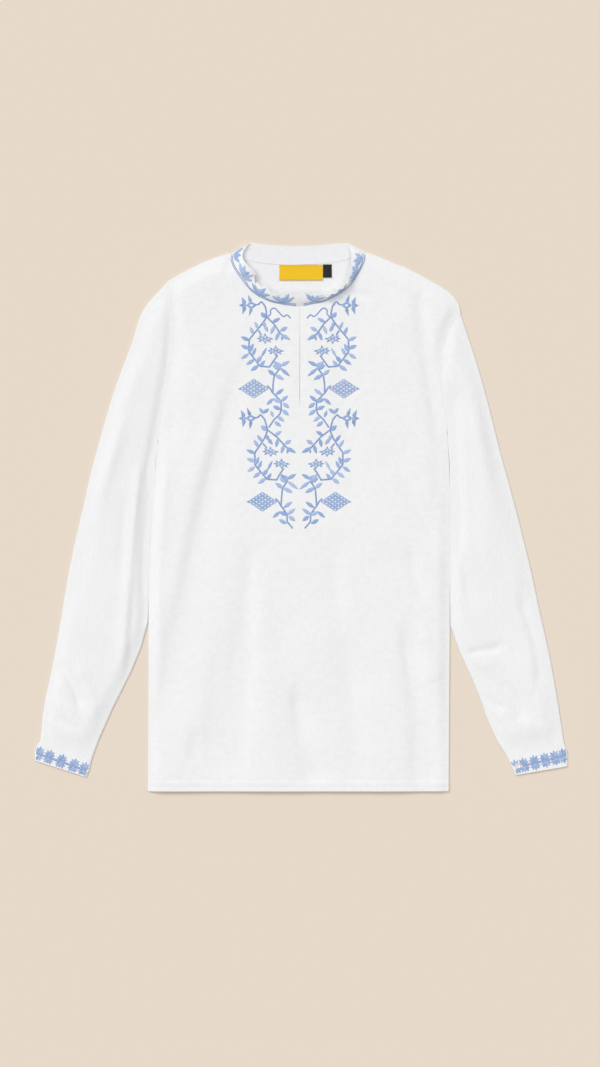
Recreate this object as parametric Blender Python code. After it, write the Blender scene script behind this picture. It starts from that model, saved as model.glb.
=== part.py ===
# Embroidered linen shirt with a stand collar, laid flat on its back.
# The pieces are the ones a maker cuts: back, front with its slit, two sleeves, two cuffs, the collar band,
# the label and size tab at the back of the neck, and the button of one cuff.
# Tables are in millimetres: x runs to the right of the centre line, y runs up from the hem.
import bpy
import bmesh
import numpy as np
from mathutils import Vector
from mathutils.geometry import delaunay_2d_cdt

MM = 0.001

# Driving sizes, in millimetres
WALL = 1.2                 # linen and its seam allowances
COLLAR_WALL = 2.0          # two layers with an interlining
CUFF_WALL = 1.6
SEAM_GAP = 0.4             # what stays open between two pieces
BESIDE_GAP = 1.1           # the same where a sleeve only lies beside the body
REST_GAP = 0.3             # the same where one piece lies on another
LAY = WALL + REST_GAP      # underside of the front where it lies on the back
PUFF = 1.6                 # how far the upper layer stands off the lower one between the folds
MIN_LIFT = 0.15
MAX_LIFT = 3.4
EDGE_ROLL = 26.0           # the upper layer rises over this distance from a side seam
FOLD_ROLL = 3.0            # a sleeve's folded edge is rounded over this distance
PANEL_STEP = 21.0          # distance between the points of the front
BACK_STEP = 80.0
EDGE_CLEARANCE = 0.55      # share of a panel's step that its inner points keep from the outline
SAME_POINT = 1e-5
INSIDE_ONLY = 1            # the triangulation keeps what lies inside the outline
OUTLINE_STEP = 15.0
FOLD_STEP = 12.0
BAND_STEP = 8.0
BAND_ACROSS = 4
SLEEVE_STEP = 26.0
SLEEVE_ACROSS = 12
CUFF_STEP = 10.0
CUFF_ACROSS = 8
ARMHOLE_FADE = 2.5         # sections over which the armhole's curve straightens
SLIT_X = 2.0
SLIT_WIDTH = 0.8
SLIT_END_Y = 576.0
SLEEVE_PARTS_Y = 250.0     # the sleeves' inner folds leave the body's sides at about this height
SHARP_ANGLE = 0.7
BUTTON_RADIUS = 4.6
BUTTON_HEIGHT = 2.2
BUTTON_BEVEL = 0.7
BUTTON_SIDES = 24
RIM_ROUNDNESS = 0.6

# Side of the body from the shoulder's corner to the hem: x, y
BODY_LEFT = (
    (-195.8, 764.5),
    (-189.8, 736.5),
    (-186.8, 703.5),
    (-189.8, 646.5),
    (-201.8, 586.5),
    (-211.0, 526.5),
    (-215.3, 466.5),
    (-220.5, 391.5),
    (-224.3, 324.0),
    (-225.0, 253.5),
    (-225.0, 136.5),
    (-225.8, 0.0),
)
BODY_RIGHT = (
    (243.0, 716.0),
    (230.3, 700.5),
    (221.3, 682.5),
    (213.8, 646.5),
    (212.3, 616.5),
    (217.8, 580.5),
    (222.8, 538.5),
    (225.9, 489.0),
    (226.9, 420.0),
    (226.6, 253.5),
    (225.8, 136.5),
    (225.0, 0.0),
)
# Shoulder from the neck to the sleeve: x, y
SHOULDER_LEFT = ((-101.5, 806.0), (-119.0, 802.0), (-141.5, 793.5), (-160.7, 784.5), (-177.0, 775.5),
                 (-195.8, 764.5))
SHOULDER_RIGHT = ((101.0, 807.5), (116.6, 802.5), (138.2, 793.5), (160.7, 784.5), (195.6, 766.5),
                  (211.0, 757.5), (224.4, 748.5), (233.9, 739.5), (240.5, 729.0), (243.0, 716.0))
# Front of the collar band, from the fold beside the neck to the centre: seam point, free edge, and its rise
COLLAR_COLUMNS = ("seam_x", "seam_y", "edge_x", "edge_y", "rise")
COLLAR_LEFT = (
    (-101.9, 802.5, -73.0, 822.6, 1.0),
    (-102.0, 796.5, -82.5, 810.0, 4.0),
    (-98.6, 786.8, -83.9, 798.0, 8.0),
    (-91.5, 774.8, -76.5, 786.8, 11.0),
    (-83.3, 763.5, -66.0, 777.0, 12.0),
    (-73.7, 752.4, -67.0, 765.8, 14.0),
    (-63.8, 744.0, -60.0, 758.7, 15.0),
    (-53.3, 738.0, -48.0, 754.0, 15.0),
    (-42.0, 733.8, -39.8, 746.6, 15.0),
    (-25.8, 729.9, -25.0, 744.0, 14.0),
    (-5.6, 727.0, -5.6, 745.8, 13.0),
    (1.6, 726.8, 1.6, 744.6, 13.0),
)
COLLAR_RIGHT = (
    (100.7, 803.3, 74.0, 822.0, 1.0),
    (100.0, 796.5, 78.5, 810.0, 4.0),
    (96.8, 788.3, 79.4, 795.0, 9.0),
    (92.0, 780.0, 77.3, 782.5, 13.0),
    (86.3, 771.0, 75.8, 772.5, 16.0),
    (80.0, 762.0, 74.0, 764.0, 18.0),
    (74.0, 755.3, 70.5, 758.5, 19.0),
    (64.5, 748.2, 62.3, 751.6, 20.0),
    (54.8, 742.5, 53.6, 745.8, 20.0),
    (44.3, 737.3, 43.4, 741.4, 18.0),
    (34.5, 733.0, 33.8, 743.2, 16.0),
    (23.3, 730.5, 22.5, 747.0, 14.0),
    (9.0, 727.6, 9.0, 745.6, 13.0),
    (2.4, 726.9, 2.4, 744.4, 13.0),
)
# Back of the neck: free edge of the collar's back, which lies inside up, and the seam under it
COLLAR_BACK_EDGE = ((-73.0, 822.6), (-64.0, 821.6), (-54.0, 820.0), (-26.0, 818.0), (2.0, 817.0),
                    (30.5, 818.5), (50.0, 820.4), (62.0, 821.8), (74.0, 822.0))
BACK_NECK = ((-83.5, 796.3), (-68.0, 793.0), (-47.0, 790.5), (-26.0, 789.0), (2.0, 789.0), (36.0, 790.5),
             (58.5, 793.0), (71.0, 796.5))
# Sleeve sections from the armhole to the cuff: outer fold, inner fold
SLEEVE_COLUMNS = ("outer_x", "outer_y", "inner_x", "inner_y")
SLEEVE_LEFT = (
    (-195.8, 764.5, -211.0, 526.5),
    (-232.2, 721.5, -215.3, 466.5),
    (-253.7, 661.5, -219.0, 406.5),
    (-275.9, 601.5, -222.8, 352.5),
    (-293.9, 541.5, -224.6, 301.5),
    (-310.2, 481.5, -225.8, 253.5),
    (-323.9, 421.5, -236.3, 214.5),
    (-337.7, 361.5, -251.3, 178.5),
    (-349.2, 301.5, -266.3, 148.5),
    (-359.0, 241.5, -279.8, 121.5),
    (-370.2, 181.5, -291.0, 96.0),
    (-382.0, 124.5, -301.0, 73.0),
    (-387.0, 76.5, -310.0, 48.0),
)
SLEEVE_RIGHT = (
    (243.0, 716.0, 222.8, 538.5),
    (253.0, 686.0, 226.5, 489.0),
    (270.5, 631.5, 226.9, 430.0),
    (287.0, 571.5, 226.9, 370.0),
    (302.0, 511.5, 226.9, 310.0),
    (318.5, 451.5, 227.6, 248.0),
    (334.0, 391.5, 240.0, 213.0),
    (348.7, 331.5, 252.0, 186.0),
    (361.4, 271.5, 264.0, 160.0),
    (374.9, 211.5, 274.5, 133.0),
    (386.0, 151.5, 283.5, 107.0),
    (395.4, 91.5, 298.0, 75.0),
    (398.5, 72.0, 310.5, 56.0),
)
# Cuff sections after the sleeve's last one: outer fold, inner fold
CUFF_LEFT = (
    (-395.0, 62.0, -313.5, 32.0),
    (-395.5, 46.0, -318.0, 21.0),
)
CUFF_RIGHT = (
    (402.8, 58.0, 318.0, 40.0),
    (403.5, 37.5, 325.0, 24.0),
)
# Largest folds as soft troughs (height below 0) and ridges: start, middle, end, half width, height
FOLD_COLUMNS = ("from_x", "from_y", "via_x", "via_y", "to_x", "to_y", "half_width", "height")
FOLDS = (
    (-94.0, 620.0, -137.0, 456.0, -212.0, 92.0, 22.0, -1.3),
    (-73.0, 354.0, -79.0, 226.0, -100.0, 20.0, 22.0, -1.2),
    (-5.0, 152.0, 5.0, 92.0, 25.0, 16.0, 22.0, -1.0),
    (55.0, 354.0, 65.0, 241.0, 118.0, 148.0, 20.0, -0.6),
    (160.0, 231.0, 178.0, 136.0, 185.0, 24.0, 24.0, -1.4),
    (182.0, 752.0, 188.0, 662.0, 218.0, 556.0, 15.0, -1.1),
    (167.0, 361.0, 182.0, 298.0, 197.0, 241.0, 14.0, -0.7),
    (-165.0, 640.0, -176.0, 480.0, -200.0, 300.0, 24.0, 0.9),
    (120.0, 560.0, 160.0, 470.0, 198.0, 420.0, 18.0, 0.9),
    (-266.0, 553.0, -293.0, 470.0, -317.0, 388.0, 13.0, 1.2),
    (-238.0, 481.0, -251.0, 346.0, -265.0, 181.0, 10.0, 1.0),
    (-205.0, 620.0, -222.0, 541.0, -231.0, 330.0, 13.0, -1.5),
    (-364.0, 189.0, -343.0, 166.0, -328.0, 133.0, 7.0, -1.3),
    (-362.0, 165.0, -349.0, 140.0, -335.0, 114.0, 8.0, 1.2),
    (230.0, 592.0, 236.0, 496.0, 241.0, 346.0, 14.0, -1.5),
    (243.0, 690.0, 266.0, 520.0, 285.0, 320.0, 18.0, 0.9),
    (332.0, 294.0, 355.0, 219.0, 362.0, 159.0, 16.0, -1.0),
    (251.0, 204.0, 275.0, 211.0, 302.0, 213.0, 6.0, -1.4),
    (275.0, 141.0, 290.0, 130.0, 302.0, 126.0, 6.0, -1.1),
    (302.0, 163.0, 325.0, 139.0, 335.0, 106.0, 9.0, -1.0),
)
# Label and tab under the back seam of the neck: left, right, bottom, top
LABEL_SIZE = (-28.7, 36.4, 765.8, 788.4)
TAB_SIZE = (36.9, 49.8, 770.0, 788.9)
LABEL_WALL = 1.0
# Middle of the cuff's button
BUTTON_AT = (328.6, 38.4)

# Colours as the cloth, label, tab and button show them, linear
LINEN = (0.85, 0.85, 0.84, 1.0)
LABEL_YELLOW = (0.83, 0.55, 0.03, 1.0)
TAB_BLACK = (0.02, 0.02, 0.022, 1.0)
BUTTON_PALE = (0.78, 0.74, 0.71, 1.0)
WOVEN = 0.85               # roughness of plain cloth
STITCHED = 0.8             # of cloth covered with thread
TAPE = 0.7
POLISHED = 0.3


# Curves and plan measures

def smooth_path(points, step):
    """Points about `step` apart on a smooth curve through the given ones."""
    known = [Vector(p) for p in points]
    out = [known[0]]
    for i in range(len(known) - 1):
        start, end = known[i], known[i + 1]
        before = known[i - 1] if i else start * 2 - end
        after = known[i + 2] if i + 2 < len(known) else end * 2 - start
        reach = (end - start).length
        turn_in = (end - before) * (reach / max(reach + (start - before).length, 1e-6))
        turn_out = (after - start) * (reach / max((after - end).length + reach, 1e-6))
        parts = max(1, round(reach / step))
        for k in range(1, parts + 1):
            t = k / parts
            out.append(start * (2 * t**3 - 3 * t**2 + 1) + turn_in * (t**3 - 2 * t**2 + t)
                       + end * (3 * t**2 - 2 * t**3) + turn_out * (t**3 - t**2))
    return np.array([tuple(p) for p in out])


def distance_to_path(points, path):
    """Shortest plan distance from each point to a line of joined segments."""
    points = np.atleast_2d(points)[:, :2]
    start, end = path[:-1, :2], path[1:, :2]
    along = end - start
    t = ((points[:, None] - start) * along).sum(2) / np.maximum((along**2).sum(1), 1e-9)
    foot = start + along * np.clip(t, 0, 1)[..., None]
    return np.sqrt(((points[:, None] - foot)**2).sum(2)).min(1)


def inside(points, loop):
    """Even and odd crossings of a ray tell which points lie in the closed loop."""
    x, y = points[:, 0, None], points[:, 1, None]
    x0, y0 = loop[:, 0], loop[:, 1]
    x1, y1 = np.roll(x0, -1), np.roll(y0, -1)
    crosses = (y0 > y) != (y1 > y)
    where = x0 + (y - y0) * (x1 - x0) / np.where(y1 == y0, 1e-9, y1 - y0)
    return (crosses & (x < where)).sum(1) % 2 == 1


def rolled(distance, reach):
    """0 at an edge and 1 from `reach` on, with a smooth start and end."""
    t = np.clip(distance / reach, 0, 1)
    return t * t * (3 - 2 * t)


def x_at(heights, path):
    """Where a line that runs down the garment stands at the given heights."""
    return np.interp(-np.asarray(heights), -path[:, 1], path[:, 0])


# Relief of the upper layer, shared by the front and the sleeves

def fold_paths():
    paths = []
    for row in FOLDS:
        fold = dict(zip(FOLD_COLUMNS, row))
        line = smooth_path(((fold["from_x"], fold["from_y"]), (fold["via_x"], fold["via_y"]),
                            (fold["to_x"], fold["to_y"])), FOLD_STEP)
        paths.append((line, fold["half_width"], fold["height"]))
    return paths


def lift_at(points):
    """How far the upper layer stands above its lay, from the puff and the folds."""
    points = np.atleast_2d(points)[:, :2]
    lift = np.full(len(points), PUFF)
    for path, half_width, height in fold_paths():
        lift += height * np.exp(-(distance_to_path(points, path) / half_width)**2)
    return np.clip(lift, MIN_LIFT, MAX_LIFT)


# Solids

def new_object(name, verts, faces, material):
    """An object in metres from points and faces in millimetres, its faces turned one way."""
    work = bmesh.new()
    corners = [work.verts.new(tuple(np.asarray(v) * MM)) for v in verts]
    for face in faces:
        work.faces.new([corners[i] for i in face])
    bmesh.ops.recalc_face_normals(work, faces=work.faces)
    return finished(name, work, material)


def finished(name, work, material):
    """Turns the working mesh into a smooth shaded object."""
    mesh = bpy.data.meshes.new(name)
    work.to_mesh(mesh)
    work.free()
    mesh.shade_smooth()
    mesh.set_sharp_from_angle(angle=SHARP_ANGLE)
    mesh.materials.append(material)
    thing = bpy.data.objects.new(name, mesh)
    bpy.context.collection.objects.link(thing)
    return thing


def panel_solid(name, loop, step, height_of, wall, material):
    """A wall over a plan outline; height_of gives its underside."""
    low, high = loop.min(0), loop.max(0)
    grid = np.array([(x, y) for y in np.arange(low[1] + step / 2, high[1], step)
                     for x in np.arange(low[0] + step / 2, high[0], step)]).reshape(-1, 2)
    closed = np.vstack([loop, loop[:1]])
    grid = grid[inside(grid, loop) & (distance_to_path(grid, closed) > EDGE_CLEARANCE * step)]
    plan = np.vstack([loop, grid])
    border = list(range(len(loop)))
    edges = [(i, (i + 1) % len(loop)) for i in border]
    flat = delaunay_2d_cdt([Vector(p) for p in plan], edges, [border], INSIDE_ONLY, SAME_POINT)
    points = np.array([tuple(v) for v in flat[0]])
    triangles = [tuple(f) for f in flat[2]]
    under = height_of(points)
    count = len(points)
    verts = [(x, y, z) for (x, y), z in zip(points, under)]
    verts += [(x, y, z + wall) for (x, y), z in zip(points, under)]
    faces = [f[::-1] for f in triangles] + [tuple(i + count for i in f) for f in triangles]
    directed = {(f[i], f[(i + 1) % 3]) for f in triangles for i in range(3)}
    for a, b in sorted(directed):
        if (b, a) not in directed:
            faces.append((a, b, b + count, a + count))
    return new_object(name, verts, faces, material)


def tube_solid(name, outer_rings, inner_rings, material):
    """A flattened open tube from matching rings of its outside and its inside."""
    around = len(outer_rings[0])
    rows = len(outer_rings)
    verts = [p for ring in outer_rings for p in ring] + [p for ring in inner_rings for p in ring]
    shift = rows * around
    last = (rows - 1) * around
    faces = []
    for k in range(around):
        n = (k + 1) % around
        for r in range(0, last, around):
            faces.append((r + k, r + n, r + n + around, r + k + around))
            faces.append((r + k + shift, r + k + around + shift, r + n + around + shift, r + n + shift))
        faces.append((k, n, n + shift, k + shift))
        faces.append((last + k, last + k + shift, last + n + shift, last + n))
    return new_object(name, verts, faces, material)


def band_solid(name, seam, edge, material):
    """A strip from its seam to its free edge, given its thickness by a Solidify modifier."""
    columns = BAND_ACROSS + 1
    verts = [low + (high - low) * (k / BAND_ACROSS) for low, high in zip(seam, edge) for k in range(columns)]
    faces = []
    for i in range(len(seam) - 1):
        for k in range(BAND_ACROSS):
            a = i * columns + k
            faces.append((a, a + 1, a + 1 + columns, a + columns))
    thing = new_object(name, verts, faces, material)
    solid = thing.modifiers.new("Thickness", "SOLIDIFY")
    solid.thickness = COLLAR_WALL * MM
    solid.offset = 0.0
    return thing


# Outlines that the body and the sleeves share

def section_lines(sections, step):
    """Outer and inner ends of the sleeve's sections, and each one's place along the table."""
    rows = [dict(zip(SLEEVE_COLUMNS, row)) for row in sections]
    outer = smooth_path([(r["outer_x"], r["outer_y"], i) for i, r in enumerate(rows)], step)
    place = outer[:, 2]
    inner = [np.interp(place, range(len(rows)), [r[key] for r in rows]) for key in ("inner_x", "inner_y")]
    return outer[:, :2], np.stack(inner, 1), place


def shares(parts):
    """Places across a section from 0 to 1, closer together near both folds."""
    return 0.5 - 0.5 * np.cos(np.linspace(0, np.pi, parts + 1))


def side_line(side_table, sections):
    """Side of the body, with points where the sleeve's ring points meet it."""
    smooth = smooth_path(side_table, OUTLINE_STEP / 4)
    inner = section_lines(sections, SLEEVE_STEP)[1]
    top, underarm = side_table[0][1], inner[0, 1]
    beside = [y for y in inner[1:, 1] if y > SLEEVE_PARTS_Y]
    below = np.linspace(beside[-1], 0.0, round(beside[-1] / OUTLINE_STEP))[1:]
    heights = np.concatenate([top + (underarm - top) * shares(SLEEVE_ACROSS), beside, below])
    return np.stack([x_at(heights, smooth), heights], 1)


def front_neck():
    """Neckline from the right shoulder to the left one, with the slit cut down from its lowest point."""
    right = [(row[0], row[1]) for row in COLLAR_RIGHT[1:-1]]
    left = [(row[0], row[1]) for row in COLLAR_LEFT[1:-1]]
    half = SLIT_WIDTH / 2
    steps = np.arange(COLLAR_LEFT[-1][1], SLIT_END_Y + BAND_STEP, -OUTLINE_STEP)
    down = [(SLIT_X + half, y) for y in steps]
    up = [(SLIT_X - half, y) for y in steps[::-1]]
    right_part = smooth_path([SHOULDER_RIGHT[0]] + right + [down[0]], BAND_STEP)
    left_part = smooth_path([up[-1]] + left[::-1] + [SHOULDER_LEFT[0]], BAND_STEP)
    return np.vstack([right_part[:-1], down, [(SLIT_X, SLIT_END_Y)], up[:-1], left_part])


def back_neck():
    """Back neckline from the right shoulder to the left one."""
    return smooth_path([SHOULDER_LEFT[0]] + list(BACK_NECK) + [SHOULDER_RIGHT[0]], OUTLINE_STEP)[::-1]


def body_loop(neck):
    """Outline of the body, anticlockwise from the left end of the hem."""
    left = side_line(BODY_LEFT, SLEEVE_LEFT)
    right = side_line(BODY_RIGHT, SLEEVE_RIGHT)
    shoulder_left = smooth_path(SHOULDER_LEFT, OUTLINE_STEP)
    shoulder_right = smooth_path(SHOULDER_RIGHT, OUTLINE_STEP)
    hem = smooth_path((left[-1], right[-1]), OUTLINE_STEP)
    return np.vstack([hem[:-1], right[:0:-1], shoulder_right[:0:-1], neck, shoulder_left[1:-1], left[:-1]])


# Body

def on_surface(points):
    return np.zeros(len(points))


def body_back(material):
    return panel_solid("back_body", body_loop(back_neck()), BACK_STEP, on_surface, WALL, material)


def front_height(points):
    """Underside of the front: down on the back at side seams and shoulders, raised between them."""
    closed = (side_line(BODY_LEFT, SLEEVE_LEFT), side_line(BODY_RIGHT, SLEEVE_RIGHT),
              smooth_path(SHOULDER_LEFT, OUTLINE_STEP), smooth_path(SHOULDER_RIGHT, OUTLINE_STEP))
    near = np.min([distance_to_path(points, edge) for edge in closed], axis=0)
    return LAY + lift_at(points) * rolled(near, EDGE_ROLL)


def body_front(material):
    return panel_solid("front_body", body_loop(front_neck()), PANEL_STEP, front_height, WALL, material)


# Sleeves and cuffs

def ring_of(plan, from_outer, from_inner, wall, inset, lift_share):
    """One ring: top points from the outer fold to the inner one, then the bottom points back."""
    nearest = np.minimum(from_outer, from_inner)
    middle = wall + REST_GAP / 2
    turn = np.sqrt(1 - (1 - np.clip(nearest / FOLD_ROLL, 0, 1))**2) * (middle - inset)
    lift = lift_at(plan) * rolled(nearest, EDGE_ROLL) * lift_share
    top = [(x, y, middle + r + up) for (x, y), r, up in zip(plan, turn, lift)]
    bottom = [(x, y, middle - r) for (x, y), r in zip(plan, turn)]
    return top + bottom[-2:0:-1]


def beside_body(plan, ring, side, edge):
    """Keeps a sleeve's points off the body's side: the first ring is sewn on, the others lie beside it."""
    limit = x_at(plan[:, 1], edge) + side * (BESIDE_GAP if ring else SEAM_GAP)
    x = np.maximum(plan[:, 0], limit) if side > 0 else np.minimum(plan[:, 0], limit)
    return np.stack([x, plan[:, 1]], 1)


def anywhere(plan, ring):
    return plan


def flat_tube(name, outer, inner, bows, across, wall, lift_share, fit, material):
    """Flattened tube between two folded edges; bows bend its sections, fit moves points off a neighbour."""
    share = shares(across)
    along_outer, along_inner = np.gradient(outer, axis=0), np.gradient(inner, axis=0)
    outside, lining = [], []
    for i in range(len(outer)):
        chord = inner[i] - outer[i]
        width = np.linalg.norm(chord)
        start, end = [wall * np.linalg.norm(t[i]) / abs(chord[0] * t[i][1] - chord[1] * t[i][0])
                      for t in (along_outer, along_inner)]
        within = start + (1 - end - start) * share
        plan = fit(outer[i] + chord * share[:, None] + bows[i], i)
        plan_within = fit(outer[i] + chord * within[:, None] + bows[i], i)
        outside.append(ring_of(plan, share * width, (1 - share) * width, wall, 0.0, lift_share))
        lining.append(ring_of(plan_within, share * width, (1 - share) * width, wall, wall, lift_share))
    return tube_solid(name, outside, lining, material)


def sleeve(name, sections, side, side_table, material):
    """Sleeve whose first section follows the armhole."""
    outer, inner, place = section_lines(sections, SLEEVE_STEP)
    edge = side_line(side_table, sections)
    share = shares(SLEEVE_ACROSS)
    first = outer[0] + (inner[0] - outer[0]) * share[:, None]
    bow = np.stack([x_at(first[:, 1], edge) - first[:, 0], np.zeros(len(share))], 1)
    fades = np.clip(1 - place / ARMHOLE_FADE, 0, 1)
    return flat_tube(name, outer, inner, [bow * fade for fade in fades], SLEEVE_ACROSS, WALL, 1.0,
                     lambda plan, ring: beside_body(plan, ring, side, edge), material)


def cuff(name, sections, sleeve_sections, material):
    """Cuff that starts at the sleeve's last section."""
    last = np.array(sleeve_sections[-1])
    toward = np.array(sections[-1]) - last
    start = last + SEAM_GAP * toward / np.linalg.norm(toward[:2])
    outer, inner, place = section_lines(np.vstack([start, sections]), CUFF_STEP)
    straight = np.zeros((len(place), 1, 2))
    return flat_tube(name, outer, inner, straight, CUFF_ACROSS, CUFF_WALL, 0.0, anywhere, material)


# Collar

def collar_front(name, sections, material):
    """Band on the front of the neck, leaning in from the neckline."""
    seam, edge = [], []
    half = COLLAR_WALL / 2
    over_back = COLLAR_WALL + REST_GAP + half
    for row in (dict(zip(COLLAR_COLUMNS, section)) for section in sections):
        line, free = Vector((row["seam_x"], row["seam_y"])), Vector((row["edge_x"], row["edge_y"]))
        lean = free - line
        tilt = row["rise"] / np.hypot(row["rise"], lean.length)
        start = line + lean.normalized() * (half * tilt + SEAM_GAP)
        middle = max(float(front_height(tuple(line))[0]) + WALL / 2, over_back)
        seam.append((start.x, start.y, middle))
        edge.append((free.x, free.y, middle + row["rise"]))
    places = [(x, y, z, i) for i, (x, y, z) in enumerate(seam)]
    seam_line = smooth_path(places, BAND_STEP)
    free_line = [np.interp(seam_line[:, 3], range(len(edge)), values) for values in zip(*edge)]
    return band_solid(name, seam_line[:, :3], np.stack(free_line, 1), material)


def collar_back(material):
    """Back of the collar, flat on the surface beyond the back neckline."""
    neck = back_neck()
    along = np.gradient(neck, axis=0)
    outward = np.stack([along[:, 1], -along[:, 0]], 1) / np.linalg.norm(along, axis=1)[:, None]
    seam = neck + outward * SEAM_GAP
    edge = smooth_path(COLLAR_BACK_EDGE, OUTLINE_STEP)
    return panel_solid("collar_back", np.vstack([edge, seam]), BACK_STEP, on_surface, COLLAR_WALL, material)


# Small pieces

def flat_plate(name, left, right, bottom, top, material):
    """Label or tab lying on the back."""
    loop = np.array([(left, bottom), (right, bottom), (right, top), (left, top)])
    return panel_solid(name, loop, BACK_STEP, lambda p: np.full(len(p), LAY), LABEL_WALL, material)


def cuff_button(material):
    """Flat button with a rounded rim, on the cuff's upper face."""
    cuff_top = 2 * CUFF_WALL + REST_GAP
    base = cuff_top + REST_GAP
    work = bmesh.new()
    radius = BUTTON_RADIUS * MM
    bmesh.ops.create_cone(work, cap_ends=True, segments=BUTTON_SIDES, radius1=radius, radius2=radius,
                          depth=BUTTON_HEIGHT * MM)
    rim = [e for e in work.edges if e.verts[0].co.z * e.verts[1].co.z > 0]
    bmesh.ops.bevel(work, geom=rim, offset=BUTTON_BEVEL * MM, segments=2, affect="EDGES",
                    profile=RIM_ROUNDNESS)
    thing = finished("cuff_button", work, material)
    thing.location = (BUTTON_AT[0] * MM, BUTTON_AT[1] * MM, (base + BUTTON_HEIGHT / 2) * MM)
    return thing


# Materials and placing

def principled(name, colour, roughness):
    material = bpy.data.materials.new(name)
    material.use_nodes = True
    shader = material.node_tree.nodes["Principled BSDF"]
    shader.inputs["Base Color"].default_value = colour
    shader.inputs["Roughness"].default_value = roughness
    shader.inputs["Metallic"].default_value = 0.0
    return material


def set_on_origin(things):
    """Parents all pieces to an empty that puts the origin under the middle of the garment."""
    bpy.context.view_layer.update()
    graph = bpy.context.evaluated_depsgraph_get()
    corners = [thing.matrix_world @ Vector(corner) for thing in things
               for corner in thing.evaluated_get(graph).bound_box]
    low = [min(corner[k] for corner in corners) for k in range(3)]
    high = [max(corner[k] for corner in corners) for k in range(3)]
    holder = bpy.data.objects.new("shirt", None)
    bpy.context.collection.objects.link(holder)
    holder.location = (-(low[0] + high[0]) / 2, -(low[1] + high[1]) / 2, -low[2])
    for thing in things:
        thing.parent = holder


def main():
    for old in list(bpy.data.objects):
        bpy.data.objects.remove(old, do_unlink=True)
    linen = principled("linen", LINEN, WOVEN)
    embroidered = principled("embroidered_linen", LINEN, STITCHED)
    yellow = principled("label_yellow", LABEL_YELLOW, TAPE)
    black = principled("tab_black", TAB_BLACK, TAPE)
    pale = principled("button_pale", BUTTON_PALE, POLISHED)
    set_on_origin([
        body_back(linen),
        body_front(linen),
        sleeve("sleeve_left", SLEEVE_LEFT, -1, BODY_LEFT, linen),
        sleeve("sleeve_right", SLEEVE_RIGHT, 1, BODY_RIGHT, linen),
        cuff("cuff_left", CUFF_LEFT, SLEEVE_LEFT, embroidered),
        cuff("cuff_right", CUFF_RIGHT, SLEEVE_RIGHT, embroidered),
        collar_back(linen),
        collar_front("collar_front_left", COLLAR_LEFT, embroidered),
        collar_front("collar_front_right", COLLAR_RIGHT, embroidered),
        flat_plate("neck_label", *LABEL_SIZE, yellow),
        flat_plate("size_tab", *TAB_SIZE, black),
        cuff_button(pale),
    ])


main()
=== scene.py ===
# Embroidered linen shirt, laid flat on its back and seen from straight above.
# Tables are in millimetres from the middle of the hem: x to the right, y towards the collar.
import math
import bpy
import bmesh
import numpy as np
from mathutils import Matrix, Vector
from mathutils.geometry import delaunay_2d_cdt


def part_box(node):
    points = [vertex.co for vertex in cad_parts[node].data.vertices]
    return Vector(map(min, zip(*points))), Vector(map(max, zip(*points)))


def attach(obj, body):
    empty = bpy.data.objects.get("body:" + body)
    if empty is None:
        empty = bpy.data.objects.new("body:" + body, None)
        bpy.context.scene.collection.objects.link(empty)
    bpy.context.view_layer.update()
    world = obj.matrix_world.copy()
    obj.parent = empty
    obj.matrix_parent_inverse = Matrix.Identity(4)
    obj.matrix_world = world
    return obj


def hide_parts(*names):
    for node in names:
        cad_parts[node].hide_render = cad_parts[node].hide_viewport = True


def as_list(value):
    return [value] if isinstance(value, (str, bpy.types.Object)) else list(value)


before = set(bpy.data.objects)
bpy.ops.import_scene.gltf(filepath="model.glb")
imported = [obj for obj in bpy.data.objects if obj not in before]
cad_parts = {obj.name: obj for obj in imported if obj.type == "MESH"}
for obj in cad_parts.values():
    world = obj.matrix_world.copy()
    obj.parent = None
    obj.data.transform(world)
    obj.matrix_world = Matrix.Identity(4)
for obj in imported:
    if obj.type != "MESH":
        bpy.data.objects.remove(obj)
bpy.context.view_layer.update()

mm = 0.001
labelCorner = (-28.7, 765.8)  # lower left corner of the label; the solids' own label tells where the hem's middle is
hemShift = np.array(labelCorner) - np.array(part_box("neck_label")[0][:2]) / mm
pixel = 1.5                   # one pixel of the photograph on the cloth
clearance = 0.05              # no cloth lies closer to the surface below than this


# Small helpers

def linearColour(hexText):
    parts = [int(hexText[i:i + 2], 16) / 255 for i in (1, 3, 5)]
    return (*[c / 12.92 if c <= 0.04045 else ((c + 0.055) / 1.055) ** 2.4 for c in parts], 1.0)


def toFrame(points):
    points = np.asarray(points, float)
    return (points - [hemShift[0], hemShift[1], 0.0]) * mm


def smoothPath(points, step):
    known = np.array([tuple(p) for p in points], float)
    out = [known[0]]
    for i in range(len(known) - 1):
        start, end = known[i], known[i + 1]
        before = known[i - 1] if i else start * 2 - end
        after = known[i + 2] if i + 2 < len(known) else end * 2 - start
        reach = np.linalg.norm(end - start)
        turnIn = (end - before) * (reach / max(reach + np.linalg.norm(start - before), 1e-6))
        turnOut = (after - start) * (reach / max(np.linalg.norm(after - end) + reach, 1e-6))
        parts = max(1, round(reach / step))
        for k in range(1, parts + 1):
            t = k / parts
            out.append(start * (2 * t**3 - 3 * t**2 + 1) + turnIn * (t**3 - 2 * t**2 + t)
                       + end * (3 * t**2 - 2 * t**3) + turnOut * (t**3 - t**2))
    return np.array(out)


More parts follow.
